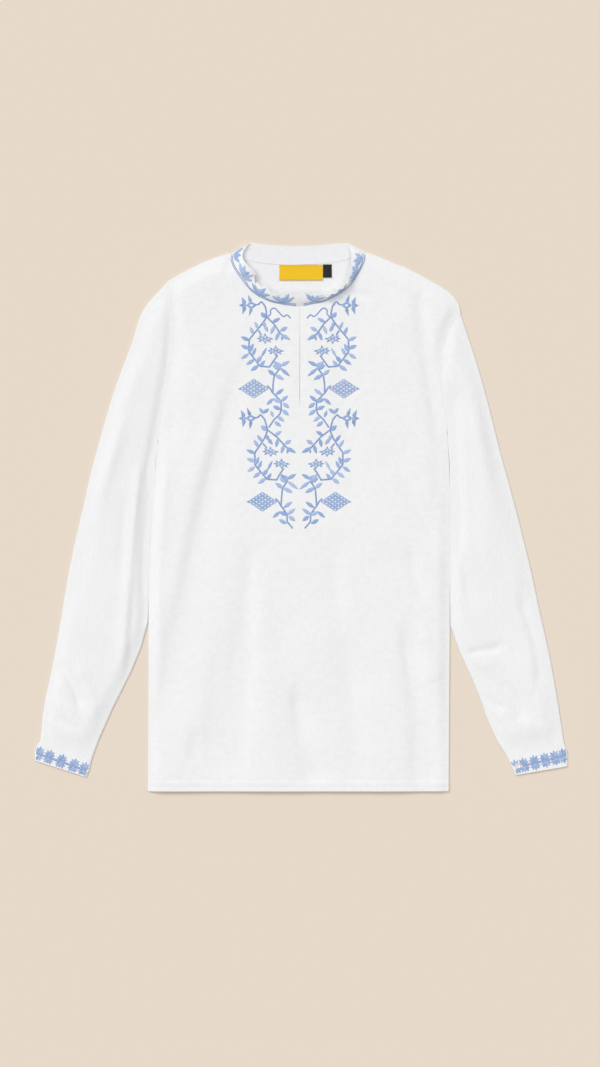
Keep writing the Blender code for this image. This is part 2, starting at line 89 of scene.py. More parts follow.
def alongPath(points, path):
    # distance from each point to a line, which side it lies on, and the share of the line's length there
    start, end = path[:-1, :2], path[1:, :2]
    step = end - start
    lengths = np.linalg.norm(step, axis=1)
    best = np.full(len(points), 1e9)
    side, share = np.zeros(len(points)), np.zeros(len(points))
    done = 0.0
    for a, d, size in zip(start, step, lengths):
        t = np.clip(((points - a) @ d) / max(size**2, 1e-9), 0, 1)
        off = points - (a + t[:, None] * d)
        far = np.hypot(off[:, 0], off[:, 1])
        nearer = far < best
        best = np.where(nearer, far, best)
        side = np.where(nearer, np.sign(d[0] * off[:, 1] - d[1] * off[:, 0]), side)
        share = np.where(nearer, (done + t * size) / lengths.sum(), share)
        done += size
    return best, side, share


def rolled(distance, reach):
    t = np.clip(distance / reach, 0, 1)
    return t * t * (3 - 2 * t)


def xAt(heights, path):
    order = np.argsort(path[:, 1])
    return np.interp(heights, path[order, 1], path[order, 0])


def insideLoop(points, loop):
    x, y = points[:, 0, None], points[:, 1, None]
    x0, y0 = loop[:, 0], loop[:, 1]
    x1, y1 = np.roll(x0, -1), np.roll(y0, -1)
    crosses = (y0 > y) != (y1 > y)
    where = x0 + (y - y0) * (x1 - x0) / np.where(y1 == y0, 1e-9, y1 - y0)
    return (crosses & (x < where)).sum(1) % 2 == 1


def planArea(loop):
    x, y = loop[:, 0], loop[:, 1]
    return abs((x * np.roll(y, -1) - y * np.roll(x, -1)).sum()) / 2 * mm * mm


def cadOutline(nodeName):
    # outline of a flat panel's top, read from its solid, anticlockwise from above
    work = bmesh.new()
    work.from_mesh(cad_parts[nodeName].data)
    bmesh.ops.remove_doubles(work, verts=work.verts, dist=1e-6)
    work.normal_update()
    following = {}
    for edge in work.edges:
        top = [f for f in edge.link_faces if f.normal.z > 0.5]
        wall = [f for f in edge.link_faces if abs(f.normal.z) <= 0.5]
        if len(top) == 1 and wall:
            for loop in top[0].loops:
                if loop.edge == edge:
                    following[loop.vert.index] = (loop.link_loop_next.vert.index, tuple(loop.vert.co))
    first = next(iter(following))
    path, here = [], first
    while True:
        after, place = following[here]
        path.append(place[:2])
        here = after
        if here == first:
            break
    work.free()
    return np.array(path) / mm + hemShift


def divided(loop, step):
    out = []
    for a, b in zip(loop, np.roll(loop, -1, axis=0)):
        parts = max(1, round(np.linalg.norm(b - a) / step))
        out += [a + (b - a) * k / parts for k in range(parts)]
    return np.array(out)


def placed(name, data):
    thing = bpy.data.objects.new(name, data)
    bpy.context.scene.collection.objects.link(thing)
    return thing


def ringFaces(rings, around):
    # faces between each closed ring of points and the next
    return [(i * around + k, i * around + (k + 1) % around, (i + 1) * around + (k + 1) % around, (i + 1) * around + k)
            for i in range(rings - 1) for k in range(around)]


def endFaces(rings, around):
    last = (rings - 1) * around
    return [tuple(range(around)), tuple(range(last + around - 1, last - 1, -1))]


def facingUp(spots, faces, uv, probe):
    # turns all faces over where the one at the probe looks down
    a, b, c = (spots[k] for k in faces[probe][:3])
    if np.cross(b - a, c - b)[2] < 0:
        faces = [f[::-1] for f in faces]
        uv = [pair for k in range(0, len(uv), 4) for pair in uv[k:k + 4][::-1]]
    return faces, uv


def reworked(mesh, job):
    work = bmesh.new()
    work.from_mesh(mesh)
    job(work)
    work.to_mesh(mesh)
    work.free()


def turnOutwards(work):
    bmesh.ops.recalc_face_normals(work, faces=work.faces)


def sharpCuts(work):
    # a cut edge is not shaded into the cloth beside it
    for edge in work.edges:
        edge.smooth = not edge.is_boundary


def clothObject(name, points, faces, cornerUv, material):
    # points in millimetres from the hem, cornerUv in millimetres along the threads, one pair for each face corner
    mesh = bpy.data.meshes.new(name)
    mesh.from_pydata([tuple(p) for p in toFrame(points)], [], faces)
    layer = mesh.uv_layers.new(name="threads")
    layer.data.foreach_set("uv", (np.array(cornerUv, float) * mm).astype(np.float32).ravel())
    mesh.shade_smooth()
    reworked(mesh, sharpCuts)
    mesh.materials.append(material)
    return placed(name, mesh)


def thicken(thing, thickness, offset=-1.0):
    wall = thing.modifiers.new("Cloth thickness", "SOLIDIFY")
    wall.thickness = thickness * mm
    wall.offset = offset
    wall.use_even_offset = False
    return thing


def plainMesh(thing):
    # the thing's mesh with its modifiers worked out
    graph = bpy.context.evaluated_depsgraph_get()
    return bpy.data.meshes.new_from_object(thing.evaluated_get(graph), preserve_all_data_layers=True,
                                           depsgraph=graph)


def settled(thing):
    # the thickened cloth as a plain mesh, nowhere below the surface that it lies on
    made = plainMesh(thing)
    for vertex in made.vertices:
        vertex.co.z = max(vertex.co.z, clearance * mm)
    thing.modifiers.clear()
    thing.data = made
    return thing


def addNode(tree, kind, inputs=None, **settings):
    # adds a node, sets its values and links what is a socket
    node = tree.nodes.new(kind)
    for key, value in settings.items():
        setattr(node, key, value)
    for key, value in (inputs or {}).items():
        if isinstance(value, bpy.types.NodeSocket):
            tree.links.new(value, node.inputs[key])
        else:
            node.inputs[key].default_value = value
    return node


def newMaterial(name, values):
    material = bpy.data.materials.new(name)
    material.use_nodes = True
    shader = material.node_tree.nodes["Principled BSDF"]
    for key, value in values.items():
        shader.inputs[key].default_value = value
    return material, material.node_tree, shader


# Camera, light and floor

view = {
    "middle": (300.0, 533.5),       # middle of the photograph, in its pixels
    "hemAtPixel": (298.5, 791.0),   # where the middle of the hem is in it
    "height": 4.0,
    "photoHeight": 1067,
    "sensor": 36.0,
    "reach": 20.0,
}


def makeCamera():
    data = bpy.data.cameras.new("camera")
    data.sensor_width = view["sensor"]
    data.lens = view["sensor"] * view["height"] / (view["photoHeight"] * pixel * mm)
    data.clip_end = view["reach"]
    across, down = ((view["middle"][k] - view["hemAtPixel"][k]) * pixel for k in (0, 1))
    camera = placed("camera", data)
    camera.location = (*toFrame((across, -down, 0.0))[:2], view["height"])
    bpy.context.scene.camera = camera


light = {
    "overhead": (1.3, 70.0, (0.0, 8.0)),     # strength, width of the light in degrees, tilt towards left and top
    "side": (1.2, 24.0, (-38.0, 32.0)),
    "room": 0.34,
    "floor": "#E6D9C9",
    "floorHalf": 3.0,
}


def makeLight():
    for name in ("overhead", "side"):
        strength, width, (left, top) = light[name]
        data = bpy.data.lights.new(name, "SUN")
        data.energy = strength
        data.angle = math.radians(width)
        placed(name, data).rotation_euler = (-math.radians(top), math.radians(left), 0.0)
    world = bpy.data.worlds.new("studio")
    bpy.context.scene.world = world
    world.use_nodes = True
    room = world.node_tree.nodes["Background"]
    room.inputs["Color"].default_value = (1, 1, 1, 1)
    room.inputs["Strength"].default_value = light["room"]
    bpy.context.scene.view_settings.view_transform = "Standard"


def makeFloor():
    half = light["floorHalf"]
    mesh = bpy.data.meshes.new("floor")
    mesh.from_pydata([(-half, -half, 0), (half, -half, 0), (half, half, 0), (-half, half, 0)], [], [(0, 1, 2, 3)])
    # painted board is even and matte: it gives no grain or gloss
    board = newMaterial("painted board", {"Base Color": linearColour(light["floor"]), "Roughness": 0.95,
                                          "Specular IOR Level": 0.1})[0]
    mesh.materials.append(board)
    placed("floor", mesh)


# Materials

linen = {
    "outside": ("#F5F5F6", "#EDEDEE"),
    # the inside is painted a little darker and bluer than the outside: painted shade
    "inside": ("#F2F2F4", "#EAEAEC"),
    "threadPitch": 0.8,       # one thread of warp or weft, in mm
    "slubLong": 16.0,         # thick places in the thread
    "slubWide": 1.6,
    "slubRaise": 1.2,
    "mottle": 9.0,
    "bump": 0.25,
}


def linenCloth(name, pale, dark):
    # bleached linen in plain weave: matte, with thick places in its threads that break up the white a little
    material, tree, shader = newMaterial(name, {"Roughness": 0.9, "Sheen Weight": 0.12, "Sheen Roughness": 0.5,
                                                "Specular IOR Level": 0.25})
    uv = addNode(tree, "ShaderNodeUVMap", uv_map="threads").outputs["UV"]
    parts = addNode(tree, "ShaderNodeSeparateXYZ", {0: uv})
    waves, slubs = [], []
    for axis, (along, across) in enumerate((("slubLong", "slubWide"), ("slubWide", "slubLong"))):
        turn = addNode(tree, "ShaderNodeMath", {0: parts.outputs[axis], 1: math.pi / (linen["threadPitch"] * mm)},
                       operation="MULTIPLY")
        waves.append(addNode(tree, "ShaderNodeMath", {0: turn.outputs[0]}, operation="SINE"))
        stretch = addNode(tree, "ShaderNodeMapping", {
            "Vector": uv, "Scale": (1 / linen[along] / mm, 1 / linen[across] / mm, 1.0)})
        slubs.append(addNode(tree, "ShaderNodeTexNoise", {"Vector": stretch.outputs[0], "Scale": 1.0, "Detail": 2.0,
                                                          "Roughness": 0.6}))
    weave = addNode(tree, "ShaderNodeMath", {0: waves[0].outputs[0], 1: waves[1].outputs[0]}, operation="MULTIPLY")
    slub = addNode(tree, "ShaderNodeMath", {0: slubs[0].outputs[0], 1: slubs[1].outputs[0]}, operation="ADD")
    patch = addNode(tree, "ShaderNodeMapping", {"Vector": uv, "Scale": (1 / (linen["mottle"] * mm),) * 3})
    mottle = addNode(tree, "ShaderNodeTexNoise", {"Vector": patch.outputs[0], "Scale": 1.0, "Detail": 3.0})
    uneven = addNode(tree, "ShaderNodeMath", {0: slub.outputs[0], 1: mottle.outputs[0]}, operation="ADD")
    level = addNode(tree, "ShaderNodeMapRange", {"Value": uneven.outputs[0], "From Min": 1.05, "From Max": 1.95})
    tint = addNode(tree, "ShaderNodeMix", {0: level.outputs[0], 6: linearColour(dark), 7: linearColour(pale)},
                   data_type="RGBA")
    height = addNode(tree, "ShaderNodeMath", {0: slub.outputs[0], 1: linen["slubRaise"], 2: weave.outputs[0]},
                     operation="MULTIPLY_ADD")
    bump = addNode(tree, "ShaderNodeBump", {"Height": height.outputs[0], "Strength": linen["bump"],
                                            "Distance": 0.25 * mm})
    tree.links.new(tint.outputs[2], shader.inputs["Base Color"])
    tree.links.new(bump.outputs[0], shader.inputs["Normal"])
    return material


# Relief of the cloth, shared by the front and the sleeves

relief = {
    "lay": 2.7,               # top of the front where it lies on the back
    "puff": 4.4,              # how far it stands up between the seams
    "lowest": 0.2,
    "highest": 12.0,
    "seamRoll": 25.0,         # the cloth rises over this distance from a seam
    "foldGain": 1.5,
    "foldUneven": 0.15,       # no fold is even along its length
    "foldEnd": 0.35,          # share of its height that a fold keeps at its ends
    "armholeLift": 0.9,       # body and sleeve are level with each other along the armhole's seam
    "armholeRoll": 19.0,
    "armholeEnd": 500.0,
    "armholeFade": 120.0,
    "armholeCorners": (764.5, 716.0),
    "armholeBelow": (765.0, 717.0),      # left and right seams below these heights join a sleeve
    "pulledAt": 664.0,        # the left armhole sinks in here
    "pulledHalf": 26.0,
    "pulledShare": 0.7,
    "clothWall": 0.9,
}

# Folds: start, middle, end, half width at the start and at the end, height, lean (a steeper left or right side)
bodyFolds = (
    (-94, 620, -137, 456, -212, 92, 17, 28, -2.8, 0.4),
    (-120, 560, -160, 430, -196, 250, 18, 22, 1.6, 0.0),
    (-73, 354, -79, 226, -100, 6, 12, 30, -3.2, -0.2),
    (-58, 300, -48, 180, -38, 30, 16, 24, 1.2, 0.0),
    (-5, 152, 5, 92, 25, 6, 10, 26, -2.8, 0.2),
    (55, 354, 65, 241, 118, 148, 14, 20, -1.6, -0.2),
    (122, 526, 182, 421, 220, 361, 12, 14, -1.4, 0.2),
    (167, 361, 176, 320, 186, 290, 9, 9, -1.6, 0.0),
    (160, 241, 176, 140, 187, 6, 14, 28, -3.6, 0.3),
    (182, 752, 190, 662, 216, 556, 11, 13, -3.0, 0.0),
    (196, 470, 198, 445, 200, 420, 16, 14, 1.2, 0.0),
    (206, 600, 210, 520, 208, 430, 12, 12, -2.2, 0.0),
    (-178, 690, -186, 610, -192, 520, 12, 14, -2.0, 0.0),
    (-120, 210, -128, 110, -140, 10, 16, 24, -1.6, 0.2),
    (70, 200, 84, 110, 96, 8, 14, 24, -1.8, -0.2),
    (-206, 480, -214, 330, -214, 220, 10, 12, 1.6, 0.0),
    (186, 240, 192, 200, 200, 160, 12, 12, 1.8, 0.0),
    (-155, 90, -156, 66, -158, 40, 9, 12, -1.6, 0.0),
    (77, 748, 92, 743, 108, 740, 4, 6, -1.2, 0.0),
    (-40, 640, -52, 560, -50, 480, 12, 16, -0.7, 0.0),
    (60, 640, 70, 560, 84, 470, 12, 16, -0.8, 0.0),
)
sleeveFolds = (
    (-184, 724, -189, 664, -197, 586, 7, 9, -4.6, 0.0),
    (-190, 622, -207, 541, -220, 466, 11, 14, -5.4, 0.3),
    (-220, 500, -228, 380, -230, 270, 11, 9, -3.0, 0.0),
    (-266, 553, -293, 470, -317, 388, 9, 12, 2.6, 0.3),
    (-246, 640, -262, 590, -280, 540, 10, 12, 1.2, 0.0),
    (-238, 481, -251, 346, -264, 175, 6, 8, 2.6, -0.3),
    (-258, 440, -262, 380, -262, 320, 7, 9, -1.6, 0.0),
    (-300, 440, -318, 360, -330, 290, 10, 12, -1.4, 0.0),
    (-364, 196, -343, 168, -326, 124, 6, 7, -2.4, 0.3),
    (-366, 172, -351, 142, -334, 108, 8, 9, 0.9, 0.0),
    (-366, 122, -356, 106, -344, 94, 6, 7, -1.6, 0.0),
    (-330, 190, -312, 150, -304, 110, 9, 9, 1.4, 0.0),
    (231, 592, 238, 480, 242, 366, 11, 9, -5.8, -0.3),
    (240, 366, 250, 320, 262, 280, 8, 10, -1.6, 0.0),
    (262, 640, 275, 520, 290, 340, 14, 18, 2.0, 0.0),
    (332, 294, 355, 219, 362, 155, 10, 11, -2.8, 0.3),
    (251, 204, 275, 210, 304, 213, 4, 4.5, -2.9, 0.4),
    (256, 193, 274, 191, 296, 188, 8, 9, 1.1, 0.0),
    (275, 141, 290, 131, 308, 124, 5, 6, -2.0, 0.3),
    (284, 124, 294, 117, 308, 110, 8, 8, 0.7, 0.0),
    (302, 163, 325, 139, 338, 102, 8, 9, -2.0, -0.2),
    (330, 110, 345, 96, 356, 84, 9, 9, 0.8, 0.0),
    (310, 470, 330, 400, 342, 330, 12, 12, 1.0, 0.0),
)
foldNames = ("x0", "y0", "x1", "y1", "x2", "y2", "halfStart", "halfEnd", "height", "lean")


def foldHeights(points, table):
    lift = np.zeros(len(points))
    for number, row in enumerate(table):
        fold = dict(zip(foldNames, row))
        path = smoothPath([(fold["x" + k], fold["y" + k]) for k in "012"], 12)
        far, side, share = alongPath(points, path)
        half = (fold["halfStart"] + (fold["halfEnd"] - fold["halfStart"]) * share) * (1 + fold["lean"] * side)
        uneven = 1 + relief["foldUneven"] * (np.sin(share * 7.0 + number * 1.7) - 1)
        taper = np.clip(np.minimum(share, 1 - share) * 5 + relief["foldEnd"], 0, 1)
        lift += fold["height"] * relief["foldGain"] * uneven * taper * np.exp(-(far / half)**2)
    return lift


ripple = {"seed": 5, "waves": 14, "shortest": 60.0, "longest": 170.0, "height": 0.06, "growth": 0.8}
chance = np.random.default_rng(ripple["seed"])
rippleWaves = [(chance.uniform(0, math.pi), chance.uniform(ripple["shortest"], ripple["longest"]),
                chance.uniform(0, 2 * math.pi)) for _ in range(ripple["waves"])]


def ripples(points):
    # shallow unevenness of washed linen
    lift = np.zeros(len(points))
    for turn, length, phase in rippleWaves:
        along = points[:, 0] * math.cos(turn) + points[:, 1] * math.sin(turn)
        size = ripple["height"] * (length / ripple["shortest"])**ripple["growth"]
        lift += size * np.sin(along * 2 * math.pi / length + phase)
    return lift


def lifted(points, table, puff):
    # puff, folds and ripples together, eased off where they come close to the layer below
    lift = puff + foldHeights(points, table) + ripples(points)
    low = relief["lowest"]
    return np.clip(np.where(lift < 1.0, low + (1.0 - low) * np.exp(lift - 1.0), lift), low, relief["highest"])


def alongArmhole(points):
    # height over the lay that the front and the sleeve share at their seam
    x, y = points[:, 0], points[:, 1]
    corner = np.where(x < 0, *relief["armholeCorners"])
    pulled = np.where(x < 0, np.exp(-((y - relief["pulledAt"]) / relief["pulledHalf"])**2), 0)
    return (relief["armholeLift"] * rolled(y - relief["armholeEnd"], relief["armholeFade"])
            * (1 - relief["pulledShare"] * pulled) * rolled(corner - y, relief["seamRoll"]))


# Front and back

front = {
    "step": 4.2,              # distance between its points, inside and along its edge
    "edgeStep": 4.5,
    "rows": (1.5, 4.6, 6.1, 7.0, 7.9, 9.6, 12.6, 13.6, 15.2, 17.2),     # rows of points that shape the hem
    "hemTop": 15.0,           # height of the turned hem
    "hemRaise": 0.5,
    "hemEase": 1.5,           # it rises over this distance
    "hemSeam": 7.0,           # the hem's line of stitches
    "hemGroove": 0.35,
    "hemGrooveHalf": 0.9,
    "hemEnds": (-224.0, 223.4),
    "slitX": 2.0,
    "slitHalf": 0.7,          # the slit's edges in the solid lie within this of its middle
    "slitEnd": 576.0,
    "slitOpenAt": 612.0,
    "slitOpenHalf": 26.0,
    "slitRoll": 0.8,          # its edges sink by this where it is open widest
    "slitRollShut": 0.35,     # share of that where it is closed
    "slitRollHalf": 5.0,
    "slitFade": 30.0,
    "sides": (-180.0, 205.0),  # the body's sides lie further out than this
    "sewnFrom": 100.4,        # and so do the seams that join front and back
    "flat": (0.47, 0.81),
}
# height and width of the slit's gap
slitOpening = ((576, 0.06), (590, 0.5), (600, 0.8), (630, 0.7), (645, 0.3), (726, 0.12))
back = {
    "step": 11.0,
    "edgeStep": 9.0,
    "top": 1.0,
    "ripple": 0.15,
    "neckHalf": 103.0,
    "neckFrom": 780.0,
    "underCollar": 0.9,       # it runs on under the collar's back, so that their seam is closed
}

frontOutline = cadOutline("front_body")
backOutline = cadOutline("back_body")
atSlit = (abs(frontOutline[:, 0] - front["slitX"]) < front["slitHalf"]) & (frontOutline[:, 1] > front["slitEnd"] + 1)
slitGap = np.interp(frontOutline[atSlit, 1], *zip(*slitOpening))
frontOutline[atSlit, 0] = front["slitX"] + np.sign(frontOutline[atSlit, 0] - front["slitX"]) * slitGap * 0.5
atNeck = (abs(backOutline[:, 0]) < back["neckHalf"]) & (backOutline[:, 1] > back["neckFrom"])
backOutline[atNeck, 1] += back["underCollar"]


def sideBeyond(limit):
    # one side of the body, from the hem upwards
    x, y = frontOutline.T
    side = frontOutline[(y > -1) & (x < limit if limit < 0 else x > limit)]
    return side[np.argsort(side[:, 1])]


sideLeft, sideRight = (sideBeyond(limit) for limit in front["sides"])


def closedEdges(outline):
    # side seams and shoulders, where front and back are sewn together
    after = np.roll(outline, -1, axis=0)
    keep = ((np.minimum(abs(outline[:, 0]), abs(after[:, 0])) > front["sewnFrom"])
            & (np.maximum(outline[:, 1], after[:, 1]) > 1))
    return outline[keep], after[keep]


def distanceTo(points, starts, ends):
    best = np.full(len(points), 1e9)
    for a, b in zip(starts, ends):
        d = b - a
        t = np.clip(((points - a) @ d) / max(d @ d, 1e-9), 0, 1)
        best = np.minimum(best, np.hypot(*(points - (a + t[:, None] * d)).T))
    return best


def fromEdge(points, loop):
    return distanceTo(points, loop, np.roll(loop, -1, axis=0))


seamStarts, seamEnds = closedEdges(frontOutline)
besideSleeve = (np.maximum(seamStarts[:, 1], seamEnds[:, 1])
                < np.where(seamStarts[:, 0] < 0, *relief["armholeBelow"]))


def frontTop(points):
    points = np.atleast_2d(points)[:, :2]
    x, y = points.T
    atShoulder = rolled(distanceTo(points, seamStarts[~besideSleeve], seamEnds[~besideSleeve]), relief["seamRoll"])
    atSide = rolled(distanceTo(points, seamStarts[besideSleeve], seamEnds[besideSleeve]), relief["armholeRoll"])
    lift = lifted(points, bodyFolds, relief["puff"]) * atShoulder
    height = relief["lay"] + alongArmhole(points) * (1 - atSide) + lift * atSide
    hem = rolled(front["hemTop"] - y, front["hemEase"]) * front["hemRaise"]
    groove = front["hemGroove"] * np.exp(-((y - front["hemSeam"]) / front["hemGrooveHalf"])**2)
    gape = np.exp(-((y - front["slitOpenAt"]) / front["slitOpenHalf"])**2)
    shut = front["slitRollShut"]
    sunk = front["slitRoll"] * (shut + (1 - shut) * gape) * np.exp(-((x - front["slitX"]) / front["slitRollHalf"])**2)
    return height + hem - groove - sunk * rolled(y - front["slitEnd"], front["slitFade"])


def panelPoints(outline, step, edgeStep, extraRows=()):
    # a grid of nearly even triangles inside the outline, with any extra rows below it
    loop = divided(outline, edgeStep)
    low, high = loop.min(0), loop.max(0)
    rows = np.arange(low[1] + step / 2, high[1], step * 0.87)
    grid = [(x + (step / 2 if r % 2 else 0), y) for r, y in enumerate(rows)
            for x in np.arange(low[0], high[0], step)]
    grid = np.array([p for p in grid if not extraRows or p[1] > max(extraRows) + step / 2])
    grid = grid[insideLoop(grid, loop)]
    grid = grid[fromEdge(grid, loop) > 0.5 * step]
    rowsToo = np.array([(x, y) for y in extraRows for x in np.arange(low[0] + step, high[0] - 0.6 * step, step)])
    if len(rowsToo):
        grid = np.vstack([grid, rowsToo[insideLoop(rowsToo, loop)]])
    border = list(range(len(loop)))
    edges = [(i, (i + 1) % len(loop)) for i in border]
    flat = delaunay_2d_cdt([Vector(p) for p in np.vstack([loop, grid])], edges, [border], 1, 1e-5)
    return np.array([tuple(v) for v in flat[0]]), [tuple(f) for f in flat[2]]


def makePanel(name, outline, sizes, heightOf, material):
    points, faces = panelPoints(outline, sizes["step"], sizes["edgeStep"], sizes.get("rows", ()))
    spots = np.column_stack([points, heightOf(points)])
    return clothObject(name, spots, faces, [spots[i][:2] for f in faces for i in f], material)


def backTop(points):
    return back["top"] + back["ripple"] * ripples(points)


# Sleeves and cuffs

sleeveNames = ("outerX", "outerY", "innerX", "innerY")
leftSleeve = (
    (-195.8, 764.5, -211.0, 526.5), (-232.2, 721.5, -215.3, 466.5), (-253.7, 661.5, -219.0, 406.5),
    (-275.9, 601.5, -222.8, 352.5), (-293.9, 541.5, -224.6, 301.5), (-310.2, 481.5, -225.8, 253.5),
    (-323.9, 421.5, -236.3, 214.5), (-337.7, 361.5, -251.3, 178.5), (-349.2, 301.5, -266.3, 148.5),
    (-359.0, 241.5, -279.8, 121.5), (-370.2, 181.5, -291.0, 96.0), (-382.0, 124.5, -301.0, 73.0),
    (-387.0, 76.5, -310.0, 48.0),
)
rightSleeve = (
    (243.0, 716.0, 222.8, 538.5), (253.0, 686.0, 226.5, 489.0), (270.5, 631.5, 226.9, 430.0),
    (287.0, 571.5, 226.9, 370.0), (302.0, 511.5, 226.9, 310.0), (318.5, 451.5, 227.6, 248.0),
    (334.0, 391.5, 240.0, 213.0), (348.7, 331.5, 252.0, 186.0), (361.4, 271.5, 264.0, 160.0),
    (374.9, 211.5, 274.5, 133.0), (386.0, 151.5, 283.5, 107.0), (395.4, 91.5, 298.0, 75.0),
    (398.5, 72.0, 310.5, 56.0),
)
leftCuff = ((-395.0, 62.0, -313.5, 32.0), (-395.5, 46.0, -318.0, 21.0))
rightCuff = ((402.8, 58.0, 318.0, 40.0), (403.5, 37.5, 325.0, 24.0))

sleeve = {
    "step": 5.0,
    "across": 44,
    "middle": 1.4,            # height of a folded edge above the surface
    "edgeHalf": 1.3,
    "edgeRound": 3.4,
    "roll": 30.0,
    "puff": 4.6,
    "seamRound": 0.7,
    "seamGap": 0.05,
    "besideGap": 0.08,
    "gapRings": 4,            # the gap opens over so many rings
    "armholeFade": 2.5,
    "freeBelow": 262.0,       # the inner fold leaves the body's side here
    "freeFade": 30.0,
    "seamBelow": 250.0,
    "cuffReach": 34.0,        # it flattens over this distance towards its cuff
    "cuffShare": 0.15,
}
cuff = {
    "step": 3.0,
    "across": 34,
    "bottom": 0.4,
    "edgeHalf": 1.2,
    "edgeRound": 3.0,
    "puff": 0.7,
    "roll": 10.0,
    "wave": 0.1,
    "waveReach": 4.6,
    "wall": 1.1,
}


def sectionLines(table, step):
    rows = [dict(zip(sleeveNames, row)) for row in table]
    outer = smoothPath([(r["outerX"], r["outerY"], i) for i, r in enumerate(rows)], step)
    place = outer[:, 2]
    inner = [np.interp(place, range(len(rows)), [r[key] for r in rows]) for key in ("innerX", "innerY")]
    return outer[:, :2], np.stack(inner, 1), place


def shares(parts):
    return 0.5 - 0.5 * np.cos(np.linspace(0, np.pi, parts + 1))


def makeTube(name, outer, inner, bows, edge, innerRound, heightOf, fit, material):
    # flattened tube: each ring runs over the top from the outer fold to the inner one and back underneath
    share = shares(edge["across"])
    rings, along = [], [0.0]
    for i, (start, chord) in enumerate(zip(outer, inner - outer)):
        plan = fit(start + chord * share[:, None] + bows[i], i)
        near = np.minimum(share, 1 - share) * np.linalg.norm(chord)
        rounds = np.where(share < 0.5, edge["edgeRound"], innerRound[i])
        turn = np.sqrt(1 - (1 - np.clip(near / rounds, 0, 1))**2) * edge["edgeHalf"]
        upper = np.column_stack([plan, edge["middle"] + turn + heightOf(plan, near)])
        lower = np.column_stack([plan, edge["middle"] - turn])[-2:0:-1]
        rings.append(np.vstack([upper, lower]))
        if i:
            along.append(along[-1] + np.linalg.norm((outer[i] + inner[i] - outer[i - 1] - inner[i - 1]) / 2))
    around = len(rings[0])
    spots = np.vstack(rings)
    girth = [np.concatenate([[0], np.cumsum(np.linalg.norm(np.diff(np.vstack([r, r[:1]]), axis=0), axis=1))])
             for r in rings]
    uv = [(girth[a][b], along[a]) for i in range(len(rings) - 1) for k in range(around)
          for a, b in ((i, k), (i, k + 1), (i + 1, k + 1), (i + 1, k))]
    middle = around * (len(rings) // 2) + edge["across"] // 2
    faces, uv = facingUp(spots, ringFaces(len(rings), around), uv, middle)
    cloth = clothObject(name, spots, faces, uv, material)
    return {"cloth": cloth, "girth": max(g[-1] for g in girth) * mm, "long": along[-1] * mm,
            "area": sum(face.area for face in cloth.data.polygons)}


def makeSleeve(name, table, side, bodySide, material):
    outer, inner, place = sectionLines(table, sleeve["step"])
    first = outer[0] + (inner[0] - outer[0]) * shares(sleeve["across"])[:, None]
    bow = np.stack([xAt(first[:, 1], bodySide) - first[:, 0], np.zeros(len(first))], 1)
    bows = [bow * fade for fade in np.clip(1 - place / sleeve["armholeFade"], 0, 1)]

    def besideBody(plan, ring):
        gap = sleeve["seamGap"] + (sleeve["besideGap"] - sleeve["seamGap"]) * min(ring / sleeve["gapRings"], 1)
        limit = xAt(plan[:, 1], bodySide) + side * gap
        x = np.maximum(plan[:, 0], limit) if side > 0 else np.minimum(plan[:, 0], limit)
        return np.stack([x, plan[:, 1]], 1)

    def heightOf(plan, near):
        # beside the body the seam shapes the inner side, so only the outer side is rolled down
        y = plan[:, 1]
        sewn = np.clip((y - sleeve["freeBelow"]) / sleeve["freeFade"], 0, 1)
        bothSides = rolled(near, sleeve["roll"])
        outerSide = rolled(distanceTo(plan, outer[:-1], outer[1:]), sleeve["roll"])
        rise = lifted(plan, sleeveFolds, sleeve["puff"]) * (bothSides + sewn * (outerSide - bothSides))
        fromSeam = rolled(abs(plan[:, 0] - xAt(y, bodySide)), relief["armholeRoll"])
        seam = np.where(y > sleeve["seamBelow"], fromSeam, 1.0)
        flatter = 1 - (1 - sleeve["cuffShare"]) * (1 - rolled(distanceTo(plan, outer[-1:], inner[-1:]),
                                                              sleeve["cuffReach"]))
        return alongArmhole(plan) * (1 - seam) + rise * seam * flatter

    # sewn to the body the inner fold lies close to it, further down it is free and round
    free = rolled(sleeve["freeBelow"] - inner[:, 1], sleeve["freeFade"])
    innerRound = sleeve["seamRound"] + (sleeve["edgeRound"] - sleeve["seamRound"]) * free
    return makeTube(name, outer, inner, bows, sleeve, innerRound, heightOf, besideBody, material)


def makeCuff(name, table, sleeveTable, material):
    last = np.array(sleeveTable[-1])
    toward = np.array(table[-1]) - last
    start = last + sleeve["seamGap"] * toward / np.linalg.norm(toward[:2])
    outer, inner, place = sectionLines(np.vstack([start, table]), cuff["step"])

    def heightOf(plan, near):
        return cuff["puff"] * rolled(near, cuff["roll"]) + cuff["wave"] * np.sin(plan[:, 0] / cuff["waveReach"])

    return makeTube(name, outer, inner, np.zeros((len(place), 1, 2)),
                    {**cuff, "middle": cuff["edgeHalf"] + cuff["bottom"]}, [cuff["edgeRound"]] * len(place),
                    heightOf, lambda plan, ring: plan, material)


# Collar: two front bands that lean in from the neckline, and the back, which lies with its outer side down

